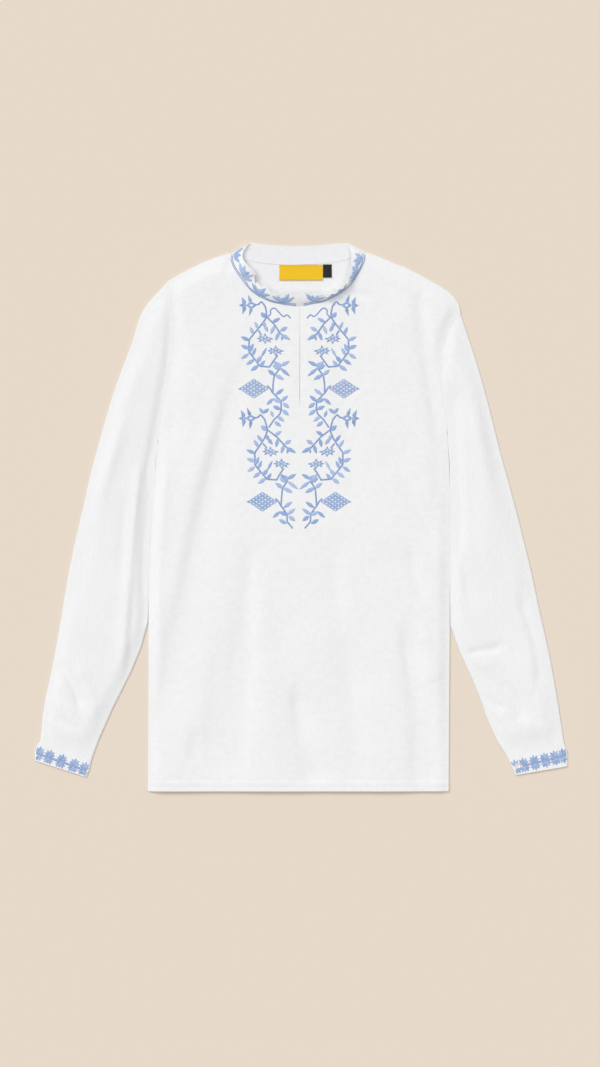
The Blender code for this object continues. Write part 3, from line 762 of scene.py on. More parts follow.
# seam point, free edge and its rise, from the shoulder to the slit
leftBand = (
    (-101.9, 802.5, -73.0, 822.6, 1.0), (-102.0, 796.5, -82.5, 810.0, 4.0), (-98.6, 786.8, -84.2, 799.0, 8.0),
    (-91.5, 774.8, -76.5, 786.6, 11.0), (-87.5, 769.0, -68.0, 780.8, 11.5), (-83.3, 763.5, -65.0, 776.0, 8.0),
    (-78.5, 757.6, -66.0, 770.0, 5.0), (-73.7, 752.4, -67.0, 764.0, 4.6), (-63.8, 744.0, -60.6, 758.8, 8.5),
    (-53.3, 738.0, -49.5, 755.0, 12.5), (-47.0, 735.6, -43.5, 750.0, 14.0), (-42.0, 733.8, -39.8, 745.6, 14.5),
    (-25.8, 729.9, -25.0, 744.0, 14.0), (-5.6, 727.0, -5.6, 746.0, 13.0), (2.03, 726.8, 2.03, 744.6, 13.0),
)
rightBand = (
    (100.7, 803.3, 74.0, 822.0, 1.0), (100.0, 796.5, 78.5, 808.0, 4.0), (96.8, 788.3, 79.6, 794.0, 9.0),
    (92.0, 780.0, 77.3, 782.5, 13.0), (86.3, 771.0, 75.2, 772.5, 16.0), (80.0, 762.0, 74.0, 764.0, 18.0),
    (74.0, 755.3, 70.5, 758.5, 19.0), (64.5, 748.2, 62.3, 751.6, 20.0), (54.8, 742.5, 53.6, 745.6, 20.0),
    (44.3, 737.3, 43.4, 741.2, 18.0), (34.5, 733.0, 33.8, 743.2, 16.0), (23.3, 730.5, 22.5, 747.4, 14.0),
    (16.0, 729.0, 14.5, 747.4, 13.5), (9.0, 727.6, 8.6, 745.6, 13.0), (2.05, 726.9, 2.05, 744.6, 13.0),
)
collar = {
    "step": 3.0,
    "across": 8,
    "wall": 1.6,
    "seamHeight": 3.3,        # middle of the band over the neckline
    "seamSunk": 0.5,
    "bulge": 1.4,
    "edgeWave": 1.5,          # the free edge is a little wavy between the stitched flowers
    "waveLength": 13.5,
    "waveStart": (30.0, 20.0),           # how far from the shoulder the waves start, and over how far they grow
    "waveStop": (4.0, 10.0),             # the same at the slit
    "rise": 0.6,              # the band lies lower than it was cut, because the shirt lies flat
    "cord": 1.2,              # radius of the rolled free edge
    "neckMiddle": (0.0, 790.0, -30.0),   # the outer face looks away from here
}
collarBackOutline = cadOutline("collar_back")
collarBackSizes = {"step": 4.0, "edgeStep": 4.0, "height": 1.7, "wave": 0.1, "waveReach": 9.0, "wall": 1.3,
                   "flat": (0.155, 0.034)}


def collarBackTop(points):
    wave = collarBackSizes["wave"] * np.sin(points[:, 0] / collarBackSizes["waveReach"])
    return collarBackSizes["height"] + wave


def makeBand(name, table, material):
    seamX, seamY, edgeX, edgeY, rise = smoothPath(table, collar["step"]).T
    seam, lean = np.stack([seamX, seamY], 1), np.stack([edgeX - seamX, edgeY - seamY], 1)
    length = np.linalg.norm(lean, axis=1)
    along = np.concatenate([[0], np.cumsum(np.hypot(np.diff(seamX), np.diff(seamY)))])
    foot = np.maximum(frontTop(seam) - collar["seamSunk"], collar["seamHeight"])
    # the waves fade out towards both ends
    wave = (collar["edgeWave"] * np.sin(along / collar["waveLength"] * 2 * math.pi)
            * rolled(along - collar["waveStart"][0], collar["waveStart"][1])
            * rolled(along[-1] - along - collar["waveStop"][0], collar["waveStop"][1]))
    count = collar["across"]
    grid = np.zeros((len(seam), count + 1, 3))
    for j in range(count + 1):
        t = j / count
        bulge = math.sin(math.pi * t) * collar["bulge"]
        out = wave * t**3 - bulge * 0.4
        grid[:, j, :2] = seam + lean * t + lean / length[:, None] * out[:, None]
        grid[:, j, 2] = foot + rise * collar["rise"] * t + bulge * (0.3 + 0.7 * length / 20)
    high = np.linalg.norm(np.diff(grid, axis=1), axis=2).sum(1)
    corners = [((i, j), (i + 1, j), (i + 1, j + 1), (i, j + 1)) for i in range(len(seam) - 1) for j in range(count)]
    faces = [tuple(a * (count + 1) + b for a, b in four) for four in corners]
    uv = [(along[a], high[a] * b / count) for four in corners for a, b in four]
    spots = grid.reshape(-1, 3)
    faces, uv = facingUp(spots, faces, uv, len(faces) // 2)
    return {"cloth": clothObject(name, spots, faces, uv, material), "grid": grid, "along": along, "high": high}


def onBand(band, along, across, raised):
    # a point over a band's outer face, from its place along the seam and its share of the band's height
    grid = band["grid"]

    def at(a, b):
        a, b = min(max(a, 0), len(grid) - 1.001), min(max(b, 0), collar["across"] - 0.001)
        k, m, s, t = int(a), int(b), a - int(a), b - int(b)
        return ((grid[k, m] * (1 - s) + grid[k + 1, m] * s) * (1 - t)
                + (grid[k, m + 1] * (1 - s) + grid[k + 1, m + 1] * s) * t)

    i, j = np.interp(along, band["along"], np.arange(len(grid))), across * collar["across"]
    here = Vector(at(i, j))
    right = Vector(at(i + 0.5, j) - at(i - 0.5, j)).normalized()
    up = Vector(at(i, j + 0.5) - at(i, j - 0.5)).normalized()
    out = right.cross(up)
    if out.dot(here - Vector(collar["neckMiddle"])) < 0:
        out = -out
    out.normalize()
    return here + out * (collar["wall"] / 2 + raised)


def rolledEdge(name, path, material):
    # the free edge, rolled over and stitched down, thinner at both ends
    sides, spots = 8, []
    for i, (spot, way) in enumerate(zip(path, np.gradient(path, axis=0))):
        size = collar["cord"] * min(1.0, 0.3 + 0.25 * min(i, len(path) - 1 - i))
        way = Vector(way).normalized()
        across = way.cross(Vector((0, 0, 1))).normalized()
        over = across.cross(way)
        spots += [tuple(Vector(spot) + (across * math.cos(turn) + over * math.sin(turn)) * size)
                  for turn in np.linspace(0, 2 * math.pi, sides, endpoint=False)]
    uv = [(a * 3, b) for i in range(len(path) - 1) for k in range(sides)
          for a, b in ((i, k), (i, k + 1), (i + 1, k + 1), (i + 1, k))] + [(0, 0)] * sides * 2
    thing = clothObject(name, spots, ringFaces(len(path), sides) + endFaces(len(path), sides), uv, material)
    reworked(thing.data, turnOutwards)
    return thing


# Stitches: small shapes set out by Geometry Nodes

threadBlues = {
    "leaf": ("#B8CCEE", "#A3BCE5", "#8FABDA"),
    "stem": ("#A0B8E0", "#90AAD6", "#819CCB"),
    "accent": ("#88A5D8", "#7493CB", "#6686C0"),
    "white": ("#FAFAFA", "#F4F4F4", "#EEEEEE"),
    "ply": 0.9,               # width of one thread in a satin leaf, in mm, drawn twice as wide to show
    "edge": 0.8,              # painted shade: the colour is darkened at a leaf's edge, where the threads turn down
}


def stitchThread(name, colours):
    # mercerised cotton in satin stitch: soft sheen, fine ridges where the threads lie side by side
    material, tree, shader = newMaterial(name, {"Roughness": 0.55, "Sheen Weight": 0.2, "Specular IOR Level": 0.35})
    tint = addNode(tree, "ShaderNodeAttribute", attribute_name="tint")
    ramp = addNode(tree, "ShaderNodeValToRGB", {"Fac": tint.outputs["Fac"]})
    stops = ramp.color_ramp.elements
    stops[0].color = linearColour(colours[0])
    stops[1].color = linearColour(colours[-1])
    for k, shade in enumerate(colours[1:-1]):
        stops.new((k + 1) / (len(colours) - 1)).color = linearColour(shade)
    uv = addNode(tree, "ShaderNodeUVMap", uv_map="stitch")
    parts = addNode(tree, "ShaderNodeSeparateXYZ", {0: uv.outputs["UV"]})
    slant = addNode(tree, "ShaderNodeMath", {0: parts.outputs[1]}, operation="ABSOLUTE")
    lines = addNode(tree, "ShaderNodeMath", {0: slant.outputs[0], 1: -0.9, 2: parts.outputs[0]},
                    operation="MULTIPLY_ADD")
    turn = addNode(tree, "ShaderNodeMath", {0: lines.outputs[0], 1: 2 * math.pi / (threadBlues["ply"] * mm)},
                   operation="MULTIPLY")
    ridge = addNode(tree, "ShaderNodeMath", {0: turn.outputs[0]}, operation="SINE")
    bump = addNode(tree, "ShaderNodeBump", {"Height": ridge.outputs[0], "Strength": 0.35, "Distance": 0.12 * mm})
    # the colour is darker in the grooves between threads and at a leaf's edge: painted shade
    shade = addNode(tree, "ShaderNodeMapRange", {"Value": ridge.outputs[0], "From Min": -1.0, "To Min": 0.92})
    paintedEdgeShade = addNode(tree, "ShaderNodeMapRange", {"Value": slant.outputs[0], "From Min": 1.5 * mm, "From Max": 2.4 * mm,
                                                  "To Min": 1.0, "To Max": threadBlues["edge"]})
    both = addNode(tree, "ShaderNodeMath", {0: shade.outputs[0], 1: paintedEdgeShade.outputs[0]}, operation="MULTIPLY")
    colour = addNode(tree, "ShaderNodeMix", {0: 1.0, 6: ramp.outputs[0], 7: both.outputs[0]}, data_type="RGBA",
                     blend_type="MULTIPLY")
    tree.links.new(colour.outputs[2], shader.inputs["Base Color"])
    tree.links.new(bump.outputs[0], shader.inputs["Normal"])
    return material


def mergeAndTurn(work):
    bmesh.ops.remove_doubles(work, verts=work.verts, dist=1e-5)
    turnOutwards(work)


def unitObject(name, verts, faces, uvOf):
    mesh = bpy.data.meshes.new(name)
    mesh.from_pydata(verts, [], faces)
    layer = mesh.uv_layers.new(name="stitch")
    for loop in mesh.loops:
        layer.data[loop.index].uv = uvOf(mesh.vertices[loop.vertex_index].co)
    mesh.shade_smooth()
    reworked(mesh, mergeAndTurn)
    return bpy.data.objects.new(name, mesh)


def leafUnit(name, widest, rise, fall):
    # satin leaf one unit long and wide, its two halves meeting in a groove
    rows, verts, faces = 6, [], []
    for i in range(rows + 1):
        t = i / rows
        half = 0.5 * ((t / widest)**rise if t < widest else ((1 - t) / (1 - widest))**fall)
        for y, z in ((-1, -0.35), (-0.86, 0.45), (-0.45, 1.0), (0, 0.7), (0.45, 1.0), (0.86, 0.45), (1, -0.35)):
            verts.append((t, y * max(half, 0.02), z * (0.35 + 0.65 * math.sin(math.pi * (0.08 + 0.84 * t)))))
    for i in range(rows):
        for j in range(6):
            a = i * 7 + j
            faces.append((a, a + 7, a + 8, a + 1))
        faces.append((i * 7 + 6, i * 7 + 13, i * 7 + 7, i * 7))
    faces.append(tuple(range(7)))
    faces.append(tuple(rows * 7 + j for j in range(6, -1, -1)))
    return unitObject(name, verts, faces, lambda co: (co.x * 13 * mm, co.y * 5 * mm))


def dashUnit():
    # one short stitch, plump in the middle and drawn in at its ends
    sides, rings = 8, ((-0.5, 0.35, -0.25), (-0.3, 0.9, 0.15), (0.0, 1.0, 0.3), (0.3, 0.9, 0.15), (0.5, 0.35, -0.25))
    verts = [(x, 0.5 * size * math.cos(turn), 0.5 * size * math.sin(turn) + lift) for x, size, lift in rings
             for turn in np.linspace(0, 2 * math.pi, sides, endpoint=False)]
    faces = ringFaces(len(rings), sides) + endFaces(len(rings), sides)
    return unitObject("stitch unit", verts, faces, lambda co: (co.x * 3 * mm, co.y * 1.5 * mm))


def eyeletUnit():
    # small rounded rhombus of stitches round an open middle, one unit wide and high
    verts, faces, around, tube, squareness = [], [], 12, 4, 1.45
    for i in range(around):
        a = 2 * math.pi * i / around
        far = 0.5 / (abs(math.cos(a))**squareness + abs(math.sin(a))**squareness)**(1 / squareness)
        for j in range(tube):
            b = 2 * math.pi * j / tube + math.pi / 4
            reach = far * (0.66 + 0.42 * math.cos(b))
            verts.append((reach * math.cos(a), reach * math.sin(a), 0.5 * math.sin(b) + 0.25))
    for i in range(around):
        for j in range(tube):
            k, m = (i + 1) % around, (j + 1) % tube
            faces.append((i * tube + j, k * tube + j, k * tube + m, i * tube + m))
    return unitObject("eyelet unit", verts, faces, lambda co: (math.atan2(co.y, co.x) * 2 * mm, 0.0))


def clingAndDye(tree, inputs, shapes):
    # lets realized stitches down onto the cloth from above or, with side -1, from below, and gives them their thread
    place = addNode(tree, "GeometryNodeInputPosition")
    parts = addNode(tree, "ShaderNodeSeparateXYZ", {0: place.outputs[0]})
    cloth = addNode(tree, "GeometryNodeObjectInfo", {"Object": inputs["Cloth"]})
    start = addNode(tree, "ShaderNodeCombineXYZ", {0: parts.outputs[0], 1: parts.outputs[1], 2: inputs["Side"]})
    down = addNode(tree, "ShaderNodeMath", {0: inputs["Side"], 1: -1.0}, operation="MULTIPLY")
    ray = addNode(tree, "ShaderNodeCombineXYZ", {0: 0.0, 1: 0.0, 2: down.outputs[0]})
    hit = addNode(tree, "GeometryNodeRaycast", {"Target Geometry": cloth.outputs["Geometry"],
                                                "Source Position": start.outputs[0],
                                                "Ray Direction": ray.outputs[0], "Ray Length": 2.0})
    hitParts = addNode(tree, "ShaderNodeSeparateXYZ", {0: hit.outputs["Hit Position"]})
    height = addNode(tree, "ShaderNodeMath", {0: parts.outputs[2], 1: inputs["Side"], 2: hitParts.outputs[2]},
                     operation="MULTIPLY_ADD")
    spot = addNode(tree, "ShaderNodeCombineXYZ", {0: parts.outputs[0], 1: parts.outputs[1], 2: height.outputs[0]})
    both = addNode(tree, "FunctionNodeBooleanMath", {0: inputs["Cling"], 1: hit.outputs["Is Hit"]}, operation="AND")
    moved = addNode(tree, "GeometryNodeSetPosition", {"Geometry": shapes, "Selection": both.outputs[0],
                                                      "Position": spot.outputs[0]})
    below = addNode(tree, "FunctionNodeCompare", {0: inputs["Side"], 1: 0.0}, data_type="FLOAT",
                    operation="LESS_THAN")
    flipped = addNode(tree, "GeometryNodeFlipFaces", {"Mesh": moved.outputs[0], "Selection": below.outputs[0]})
    dyed = addNode(tree, "GeometryNodeSetMaterial", {"Geometry": flipped.outputs[0], "Material": inputs["Thread"]})
    addNode(tree, "NodeGroupOutput", {0: dyed.outputs[0]})


def newTree(name, sockets):
    tree = bpy.data.node_groups.new(name, "GeometryNodeTree")
    tree.is_modifier = True
    for label, kind in sockets:
        tree.interface.new_socket(label, in_out="INPUT", socket_type=kind)
    tree.interface.new_socket("Stitches", in_out="OUTPUT", socket_type="NodeSocketGeometry")
    return tree, addNode(tree, "NodeGroupInput").outputs


sharedSockets = (("Shape", "NodeSocketObject"), ("Cloth", "NodeSocketObject"), ("Cling", "NodeSocketBool"),
                 ("Side", "NodeSocketFloat"), ("Thread", "NodeSocketMaterial"))


def motifTree():
    tree, inputs = newTree("embroidered motifs", (("Spots", "NodeSocketGeometry"), *sharedSockets))
    shape = addNode(tree, "GeometryNodeObjectInfo", {"Object": inputs["Shape"]})
    turn = addNode(tree, "GeometryNodeInputNamedAttribute", {"Name": "turn"}, data_type="FLOAT_VECTOR")
    rotation = addNode(tree, "FunctionNodeEulerToRotation", {0: turn.outputs[0]})
    size = addNode(tree, "GeometryNodeInputNamedAttribute", {"Name": "size"}, data_type="FLOAT_VECTOR")
    instances = addNode(tree, "GeometryNodeInstanceOnPoints", {
        "Points": inputs["Spots"], "Instance": shape.outputs["Geometry"], "Rotation": rotation.outputs[0],
        "Scale": size.outputs[0]})
    real = addNode(tree, "GeometryNodeRealizeInstances", {0: instances.outputs[0]})
    clingAndDye(tree, inputs, real.outputs[0])
    return tree


def rowTree():
    tree, inputs = newTree("rows of stitches", (
        ("Path", "NodeSocketGeometry"), *sharedSockets, ("Pitch", "NodeSocketFloat"), ("Length", "NodeSocketFloat"),
        ("Width", "NodeSocketFloat"), ("Height", "NodeSocketFloat"), ("Slant", "NodeSocketFloat"),
        ("Seed", "NodeSocketInt")))
    curve = addNode(tree, "GeometryNodeMeshToCurve", {0: inputs["Path"]})
    even = addNode(tree, "GeometryNodeResampleCurve", {"Curve": curve.outputs[0], "Length": inputs["Pitch"]},
                   mode="LENGTH")
    shape = addNode(tree, "GeometryNodeObjectInfo", {"Object": inputs["Shape"]})
    tangent = addNode(tree, "GeometryNodeInputTangent")
    aligned = addNode(tree, "FunctionNodeAlignRotationToVector", {"Vector": tangent.outputs[0]}, axis="X")
    index = addNode(tree, "GeometryNodeInputIndex")
    odd = addNode(tree, "ShaderNodeMath", {0: index.outputs[0], 1: 2.0}, operation="MODULO")
    swing = addNode(tree, "ShaderNodeMath", {0: odd.outputs[0], 1: 2.0, 2: -1.0}, operation="MULTIPLY_ADD")
    angle = addNode(tree, "ShaderNodeMath", {0: swing.outputs[0], 1: inputs["Slant"]}, operation="MULTIPLY")
    euler = addNode(tree, "ShaderNodeCombineXYZ", {0: 0.0, 1: 0.0, 2: angle.outputs[0]})
    tilt = addNode(tree, "FunctionNodeEulerToRotation", {0: euler.outputs[0]})
    turned = addNode(tree, "FunctionNodeRotateRotation", {0: aligned.outputs[0], 1: tilt.outputs[0]},
                     rotation_space="LOCAL")
    size = addNode(tree, "ShaderNodeCombineXYZ", {0: inputs["Length"], 1: inputs["Width"], 2: inputs["Height"]})
    instances = addNode(tree, "GeometryNodeInstanceOnPoints", {
        "Points": even.outputs[0], "Instance": shape.outputs["Geometry"], "Rotation": turned.outputs[0],
        "Scale": size.outputs[0]})
    shade = addNode(tree, "FunctionNodeRandomValue", {2: 0.35, 3: 0.85, "Seed": inputs["Seed"]}, data_type="FLOAT")
    marked = addNode(tree, "GeometryNodeStoreNamedAttribute", {"Geometry": instances.outputs[0], "Name": "tint",
                                                               "Value": shade.outputs[1]},
                     data_type="FLOAT", domain="INSTANCE")
    real = addNode(tree, "GeometryNodeRealizeInstances", {0: marked.outputs[0]})
    clingAndDye(tree, inputs, real.outputs[0])
    return tree


def grown(name, mesh, tree, values):
    # runs a tree on a mesh and keeps the result as a plain mesh
    source = placed(name + " plan", mesh)
    modifier = source.modifiers.new("Stitching", "NODES")
    modifier.node_group = tree
    for item in tree.interface.items_tree:
        if item.in_out == "INPUT" and item.name in values:
            modifier[item.identifier] = values[item.name]
    bpy.context.view_layer.update()
    made = plainMesh(source)
    bpy.data.objects.remove(source)
    made.name = name
    return placed(name, made)


def makeMotifs(name, rows, shape, cloth, thread, cling=True, side=1.0):
    # rows: place in mm, turn, size in mm, tint
    mesh = bpy.data.meshes.new(name + " spots")
    mesh.from_pydata([tuple(p) for p in toFrame([r[0] for r in rows])], [], [])
    for label, kind, column in (("turn", "FLOAT_VECTOR", 1), ("size", "FLOAT_VECTOR", 2), ("tint", "FLOAT", 3)):
        attribute = mesh.attributes.new(label, kind, "POINT")
        values = np.array([r[column] for r in rows], np.float32)
        if label == "size":
            values = values * mm
        attribute.data.foreach_set("vector" if kind == "FLOAT_VECTOR" else "value", values.ravel())
    return grown(name, mesh, motifs, {"Shape": shape, "Cloth": cloth, "Cling": cling, "Side": side,
                                      "Thread": thread})


stitchSeed = 3


def makeRows(name, paths, shape, cloth, thread, pitch, length, width, height, slant=0.0, cling=True, side=1.0):
    # lengths in mm, slant in degrees
    mesh = bpy.data.meshes.new(name + " path")
    verts, edges = [], []
    for path in paths:
        path = np.asarray(path, float)
        if path.shape[1] == 2:
            path = np.column_stack([path, np.zeros(len(path))])
        edges += [(len(verts) + k, len(verts) + k + 1) for k in range(len(path) - 1)]
        verts += [tuple(p) for p in toFrame(path)]
    mesh.from_pydata(verts, edges, [])
    return grown(name, mesh, rowsOfStitches, {
        "Shape": shape, "Cloth": cloth, "Cling": cling, "Side": side, "Thread": thread, "Pitch": pitch * mm,
        "Length": length * mm, "Width": width * mm, "Height": height * mm, "Slant": math.radians(slant),
        "Seed": stitchSeed})


# Embroidery of the front, charted in stitches of 1.5 mm: outwards from the slit's line, down from the collar

chart = {
    "top": 736.5,
    "cell": 1.5,
    "second": 112.8,           # rows from one repeat to the next
    "aside": 0.9,              # the column right of the slit stands this much further out, in mm
    "leafWidth": 6.2,
    "leafHeight": 0.8,
    "leafBack": 0.12,          # share of its length that a leaf starts before its foot, under the stem
    "stem": {"pitch": 2.1, "length": 3.0, "width": 2.6, "height": 0.7, "slant": 26.0},
    "tendril": {"pitch": 2.2, "length": 2.4, "width": 2.0, "height": 0.6, "slant": 20.0},
    "eyelet": (8.6, 5.6, 0.8),
    "tintSeed": 11,
}
# how many stitches the second repeat stands further in, by row: the cloth is drawn in towards the slit
drawnIn = ((0, -1), (14, 0), (25, 3.2), (35, 5.4), (60, 6.2), (80, 8.6), (92, 8.4), (102, 6.0), (130, 5.6))

# petals and leaves: column and row of the foot, column and row of the tip, share of the usual width
flowerPair = (
    (53.6, 4.0, 56.6, -2.8, 1.1), (53.6, 7.4, 55.9, 14.6, 1.1), (55, 5.6, 59.6, 5.8, 0.9),
    (47.6, 2.6, 50.4, -5, 0.95), (47, 8.6, 49.4, 16.4, 0.95),
)
flowerRings = ((55, 5.7, 9.6, 7.6), (47.2, 5.5, 15.0, 10.4))
spray = (
    (33.2, 17.6, 37.4, 12.8, 1.25), (40.2, 29, 44, 22, 0.9), (45, 34.6, 48.4, 27, 0.95), (49.4, 40.6, 57.6, 37, 1.0),
    (49.8, 48.8, 57.6, 45.6, 1.1), (50.2, 54.4, 57.2, 59, 1.0), (44.6, 60, 52.2, 65, 1.05),
    (40.4, 66, 47.8, 71, 1.1), (34.6, 22.4, 33.6, 28, 1.0), (33.8, 26, 30.6, 32, 1.0), (49.2, 51.8, 45, 44, 1.1),
    (46.2, 55.6, 42.4, 47.8, 0.9), (41.8, 62.4, 36.4, 56, 1.1), (36.6, 56.4, 31.8, 47.8, 0.75),
    (38.2, 66.2, 33.4, 60.6, 0.95), (25.6, 22.4, 18.2, 18.4, 1.0), (24.4, 26.8, 27.8, 34.6, 1.0),
    (17.6, 31, 11, 27.4, 1.1), (19.6, 32.8, 23, 41, 1.0), (16.8, 35.2, 8.2, 40.2, 1.05), (16.4, 36.6, 16.6, 41, 0.7),
    (17.6, 66, 8.8, 61.4, 1.05), (17.6, 69, 8.4, 76.6, 0.95), (24.4, 75, 30.6, 70, 1.1), (22.8, 75.4, 14.4, 80, 1.1),
    (18.4, 68.4, 24.4, 61.6, 1.3), (19, 68.8, 26, 65.4, 1.3), (18, 67.4, 20.2, 62.6, 1.0),
)
tailSpray = (
    (22.2, 94.6, 14.8, 89, 1.0), (17.2, 101.4, 10.4, 95.8, 1.0), (17.6, 102, 26, 99, 1.15),
    (25.6, 99.2, 31.8, 105, 0.95), (15.2, 103.6, 9.2, 108.2, 1.1),
)
linkSpray = (
    (18.6, 109.4, 25.6, 106.2, 1.1), (16, 110.4, 9.4, 115.6, 1.1), (25.4, 116.8, 27.8, 110.6, 0.9),
    (20.6, 116.8, 14.2, 121.8, 1.0), (23.4, 122.2, 17.4, 126.6, 1.05), (35, 113.6, 39.2, 108, 0.9),
    (35, 113, 29.4, 108.8, 1.0),
)
footSpray = ((18.6, 110.6, 25.6, 106.6, 1.05),)
stems = (
    ((42.6, 5.2), (40, 4.8), (37.2, 2), (35.6, 3.6), (33.2, 7), (32, 12.6), (31.8, 17)),
    ((31.8, 17.6), (37.4, 25.6), (43.6, 33), (49.2, 39.8), (49.6, 51.8), (45.4, 57.4), (41, 63), (38.6, 66.4),
     (29, 67.2), (25.2, 61.6), (21.2, 56.2)),
    ((30.4, 18.6), (24.4, 24.6), (19.8, 31.4), (16.8, 35.2), (12.4, 38)),
    ((18.4, 68.4), (24.2, 75.8), (25.4, 84), (25.6, 93)),
    ((31, 86.4), (28.8, 88.2), (25.8, 93)),
    ((39.6, 31.4), (37.4, 35)),
)
tailStem = ((25.6, 93), (17.6, 101.4), (17.2, 109))
linkStem = ((17.2, 109), (18.4, 114), (24.6, 120), (29.2, 127))
footStem = ((17.2, 109), (12, 115))
tendril = ((31, 17.8), (27.8, 14), (28, 10.8), (24.4, 8.4), (21.4, 10.6), (18.4, 14), (14.8, 17), (11.6, 15.2),
           (8.2, 18.2))
sideFlowers = ((33.4, 39), (22.8, 51.1))
flowerCells = ((-3.2, 0), (3.2, 0), (0, -1.9), (0, 1.9))
flowerTicks = ((-8.4, 0.2, -5, 0), (8.4, -0.4, 5, 0), (0, -5.6, 0, -3), (0, 5.4, 0, 3), (-6, 3.6, -3.6, 1.8),
               (6.6, 3.2, 3.8, 1.6), (6.4, -3.2, 3.8, -1.6))
lattice = {"middle": (44.6, 88.8), "cell": (2.98, 1.96), "count": 5, "tick": (57.4, 88.9, 60.8, 89.2)}


def chartPlace(column, row, side, repeat):
    if repeat:
        shift = np.interp(row, [k for k, _ in drawnIn], [v for _, v in drawnIn])
        column, row = column - shift, row + chart["second"]
    x = -side * column * chart["cell"] + (chart["aside"] if side < 0 else 0.0)
    return np.array((x, chart["top"] - row * chart["cell"]))


def leafRow(foot, tip, width, tint):
    reach = tip - foot
    start = foot - reach * chart["leafBack"]
    return ((*start, 0.0), (0.0, 0.0, math.atan2(reach[1], reach[0])),
            (np.hypot(*reach) * (1 + chart["leafBack"]), chart["leafWidth"] * width, chart["leafHeight"]), tint)


def flatEyelet(spot, wide, high, tint):
    return ((*spot, 0.0), (0.0, 0.0, 0.0), (wide, high, chart["eyelet"][2]), tint)


def frontEmbroidery():
    pick = np.random.default_rng(chart["tintSeed"])
    made = {"leaves": [], "petals": [], "eyelets": [], "stems": [], "tendrils": []}
    for side in (1, -1):
        for repeat in (0, 1):
            def at(column, row):
                return chartPlace(column, row, side, repeat)

            for table, group in ((flowerPair, "petals"),
                                 (spray + tailSpray + (footSpray if repeat else linkSpray), "leaves")):
                made[group] += [leafRow(at(c0, r0), at(c1, r1), width, pick.uniform(0.1, 0.9))
                                for c0, r0, c1, r1, width in table]
            made["stems"] += [[at(c, r) for c, r in line]
                              for line in stems + (tailStem, footStem if repeat else linkStem)]
            if not repeat:
                made["tendrils"].append(smoothPath([at(c, r) for c, r in tendril], 1.5))
            made["eyelets"] += [flatEyelet(at(c, r), wide, high, 0.6) for c, r, wide, high in flowerRings]
            for c, r in sideFlowers:
                made["eyelets"] += [flatEyelet(at(c + dc, r + dr), *chart["eyelet"][:2], pick.uniform(0.1, 0.5))
                                    for dc, dr in flowerCells]
                made["petals"] += [leafRow(at(c + c1, r + r1), at(c + c0, r + r0), 0.55, 0.5)
                                   for c0, r0, c1, r1 in flowerTicks]
            half = (lattice["count"] - 1) / 2
            middle = at(*lattice["middle"])
            for i in range(lattice["count"]):
                for j in range(lattice["count"]):
                    spot = middle + chart["cell"] * np.array(((i - j) * lattice["cell"][0],
                                                              (i + j - 2 * half) * lattice["cell"][1]))
                    made["eyelets"].append(flatEyelet(spot, *chart["eyelet"][:2], pick.uniform(0.1, 0.5)))
            c0, r0, c1, r1 = lattice["tick"]
            made["petals"].append(leafRow(at(c0, r0), at(c1, r1), 0.5, 0.5))
    return made


# Embroidery of the cuffs: stars cut in two by a double line

cuffChart = {
    "petals": ((-7.8, 2.0), (-5.4, 6.4), (0.0, 8.4), (5.4, 6.4), (7.8, 2.0)),   # tips, along and away from the line
    "foot": 2.9,
    "spread": 0.2,            # share of a tip's reach at which its petal starts
    "shorter": (1.0, 0.86, 0.72, 0.58),     # a petal is made shorter where the cuff ends
    "width": 0.72,
    "lines": 0.95,            # each of the two lines lies this far from the middle
    "lineEnd": 2.4,
    "row": {"pitch": 2.4, "length": 2.9, "width": 1.5, "height": 0.5, "slant": 0.0},
    "edge": 0.7,
    "upper": 1.16,            # the half stars on the sleeve's side are this much taller
    "under": 0.2,             # height of the stitches that lie on the surface below
}
# start and end of the middle line, the places of the stars along it, and where the double line starts
leftCuffLine = ((-394.6, 57.6), (-316.6, 30.4), (5.2, 21.6, 41.0, 60.8, 77.0), 2.6)
rightCuffLine = ((322.4, 34.6), (402.4, 53.8), (3.4, 16.2, 32.6, 49.0, 64.0, 76.6), 15.0)


def cuffEmbroidery(line, loop):
    start, end = np.array(line[0]), np.array(line[1])
    way = (end - start) / np.linalg.norm(end - start)
    off = np.array((-way[1], way[0]))
    pick = np.random.default_rng(chart["tintSeed"])
    petals = []
    for along in line[2]:
        for side in (1, -1):
            for u, v in cuffChart["petals"]:
                v *= cuffChart["upper"] if side > 0 else 1.0
                foot = start + way * (along + u * cuffChart["spread"]) + off * side * cuffChart["foot"]
                for share in cuffChart["shorter"]:
                    tip = start + way * (along + u * (0.4 + 0.6 * share)) + off * side * (cuffChart["foot"] + v * share)
                    both = np.array([foot, tip])
                    if insideLoop(both, loop).all() and fromEdge(both, loop).min() > cuffChart["edge"]:
                        petals.append(leafRow(foot, tip, cuffChart["width"], pick.uniform(0.2, 1.0)))
                        break
    lines = [[start + way * line[3] + off * side * cuffChart["lines"],
              end - way * cuffChart["lineEnd"] + off * side * cuffChart["lines"]] for side in (1, -1)]
    return petals, lines


def cuffLoop(table, sleeveTable):
    rows = [sleeveTable[-1], *table]
    return np.array([r[:2] for r in rows] + [r[2:] for r in rows[::-1]], float)


# Embroidery of the collar: half lilies over a line

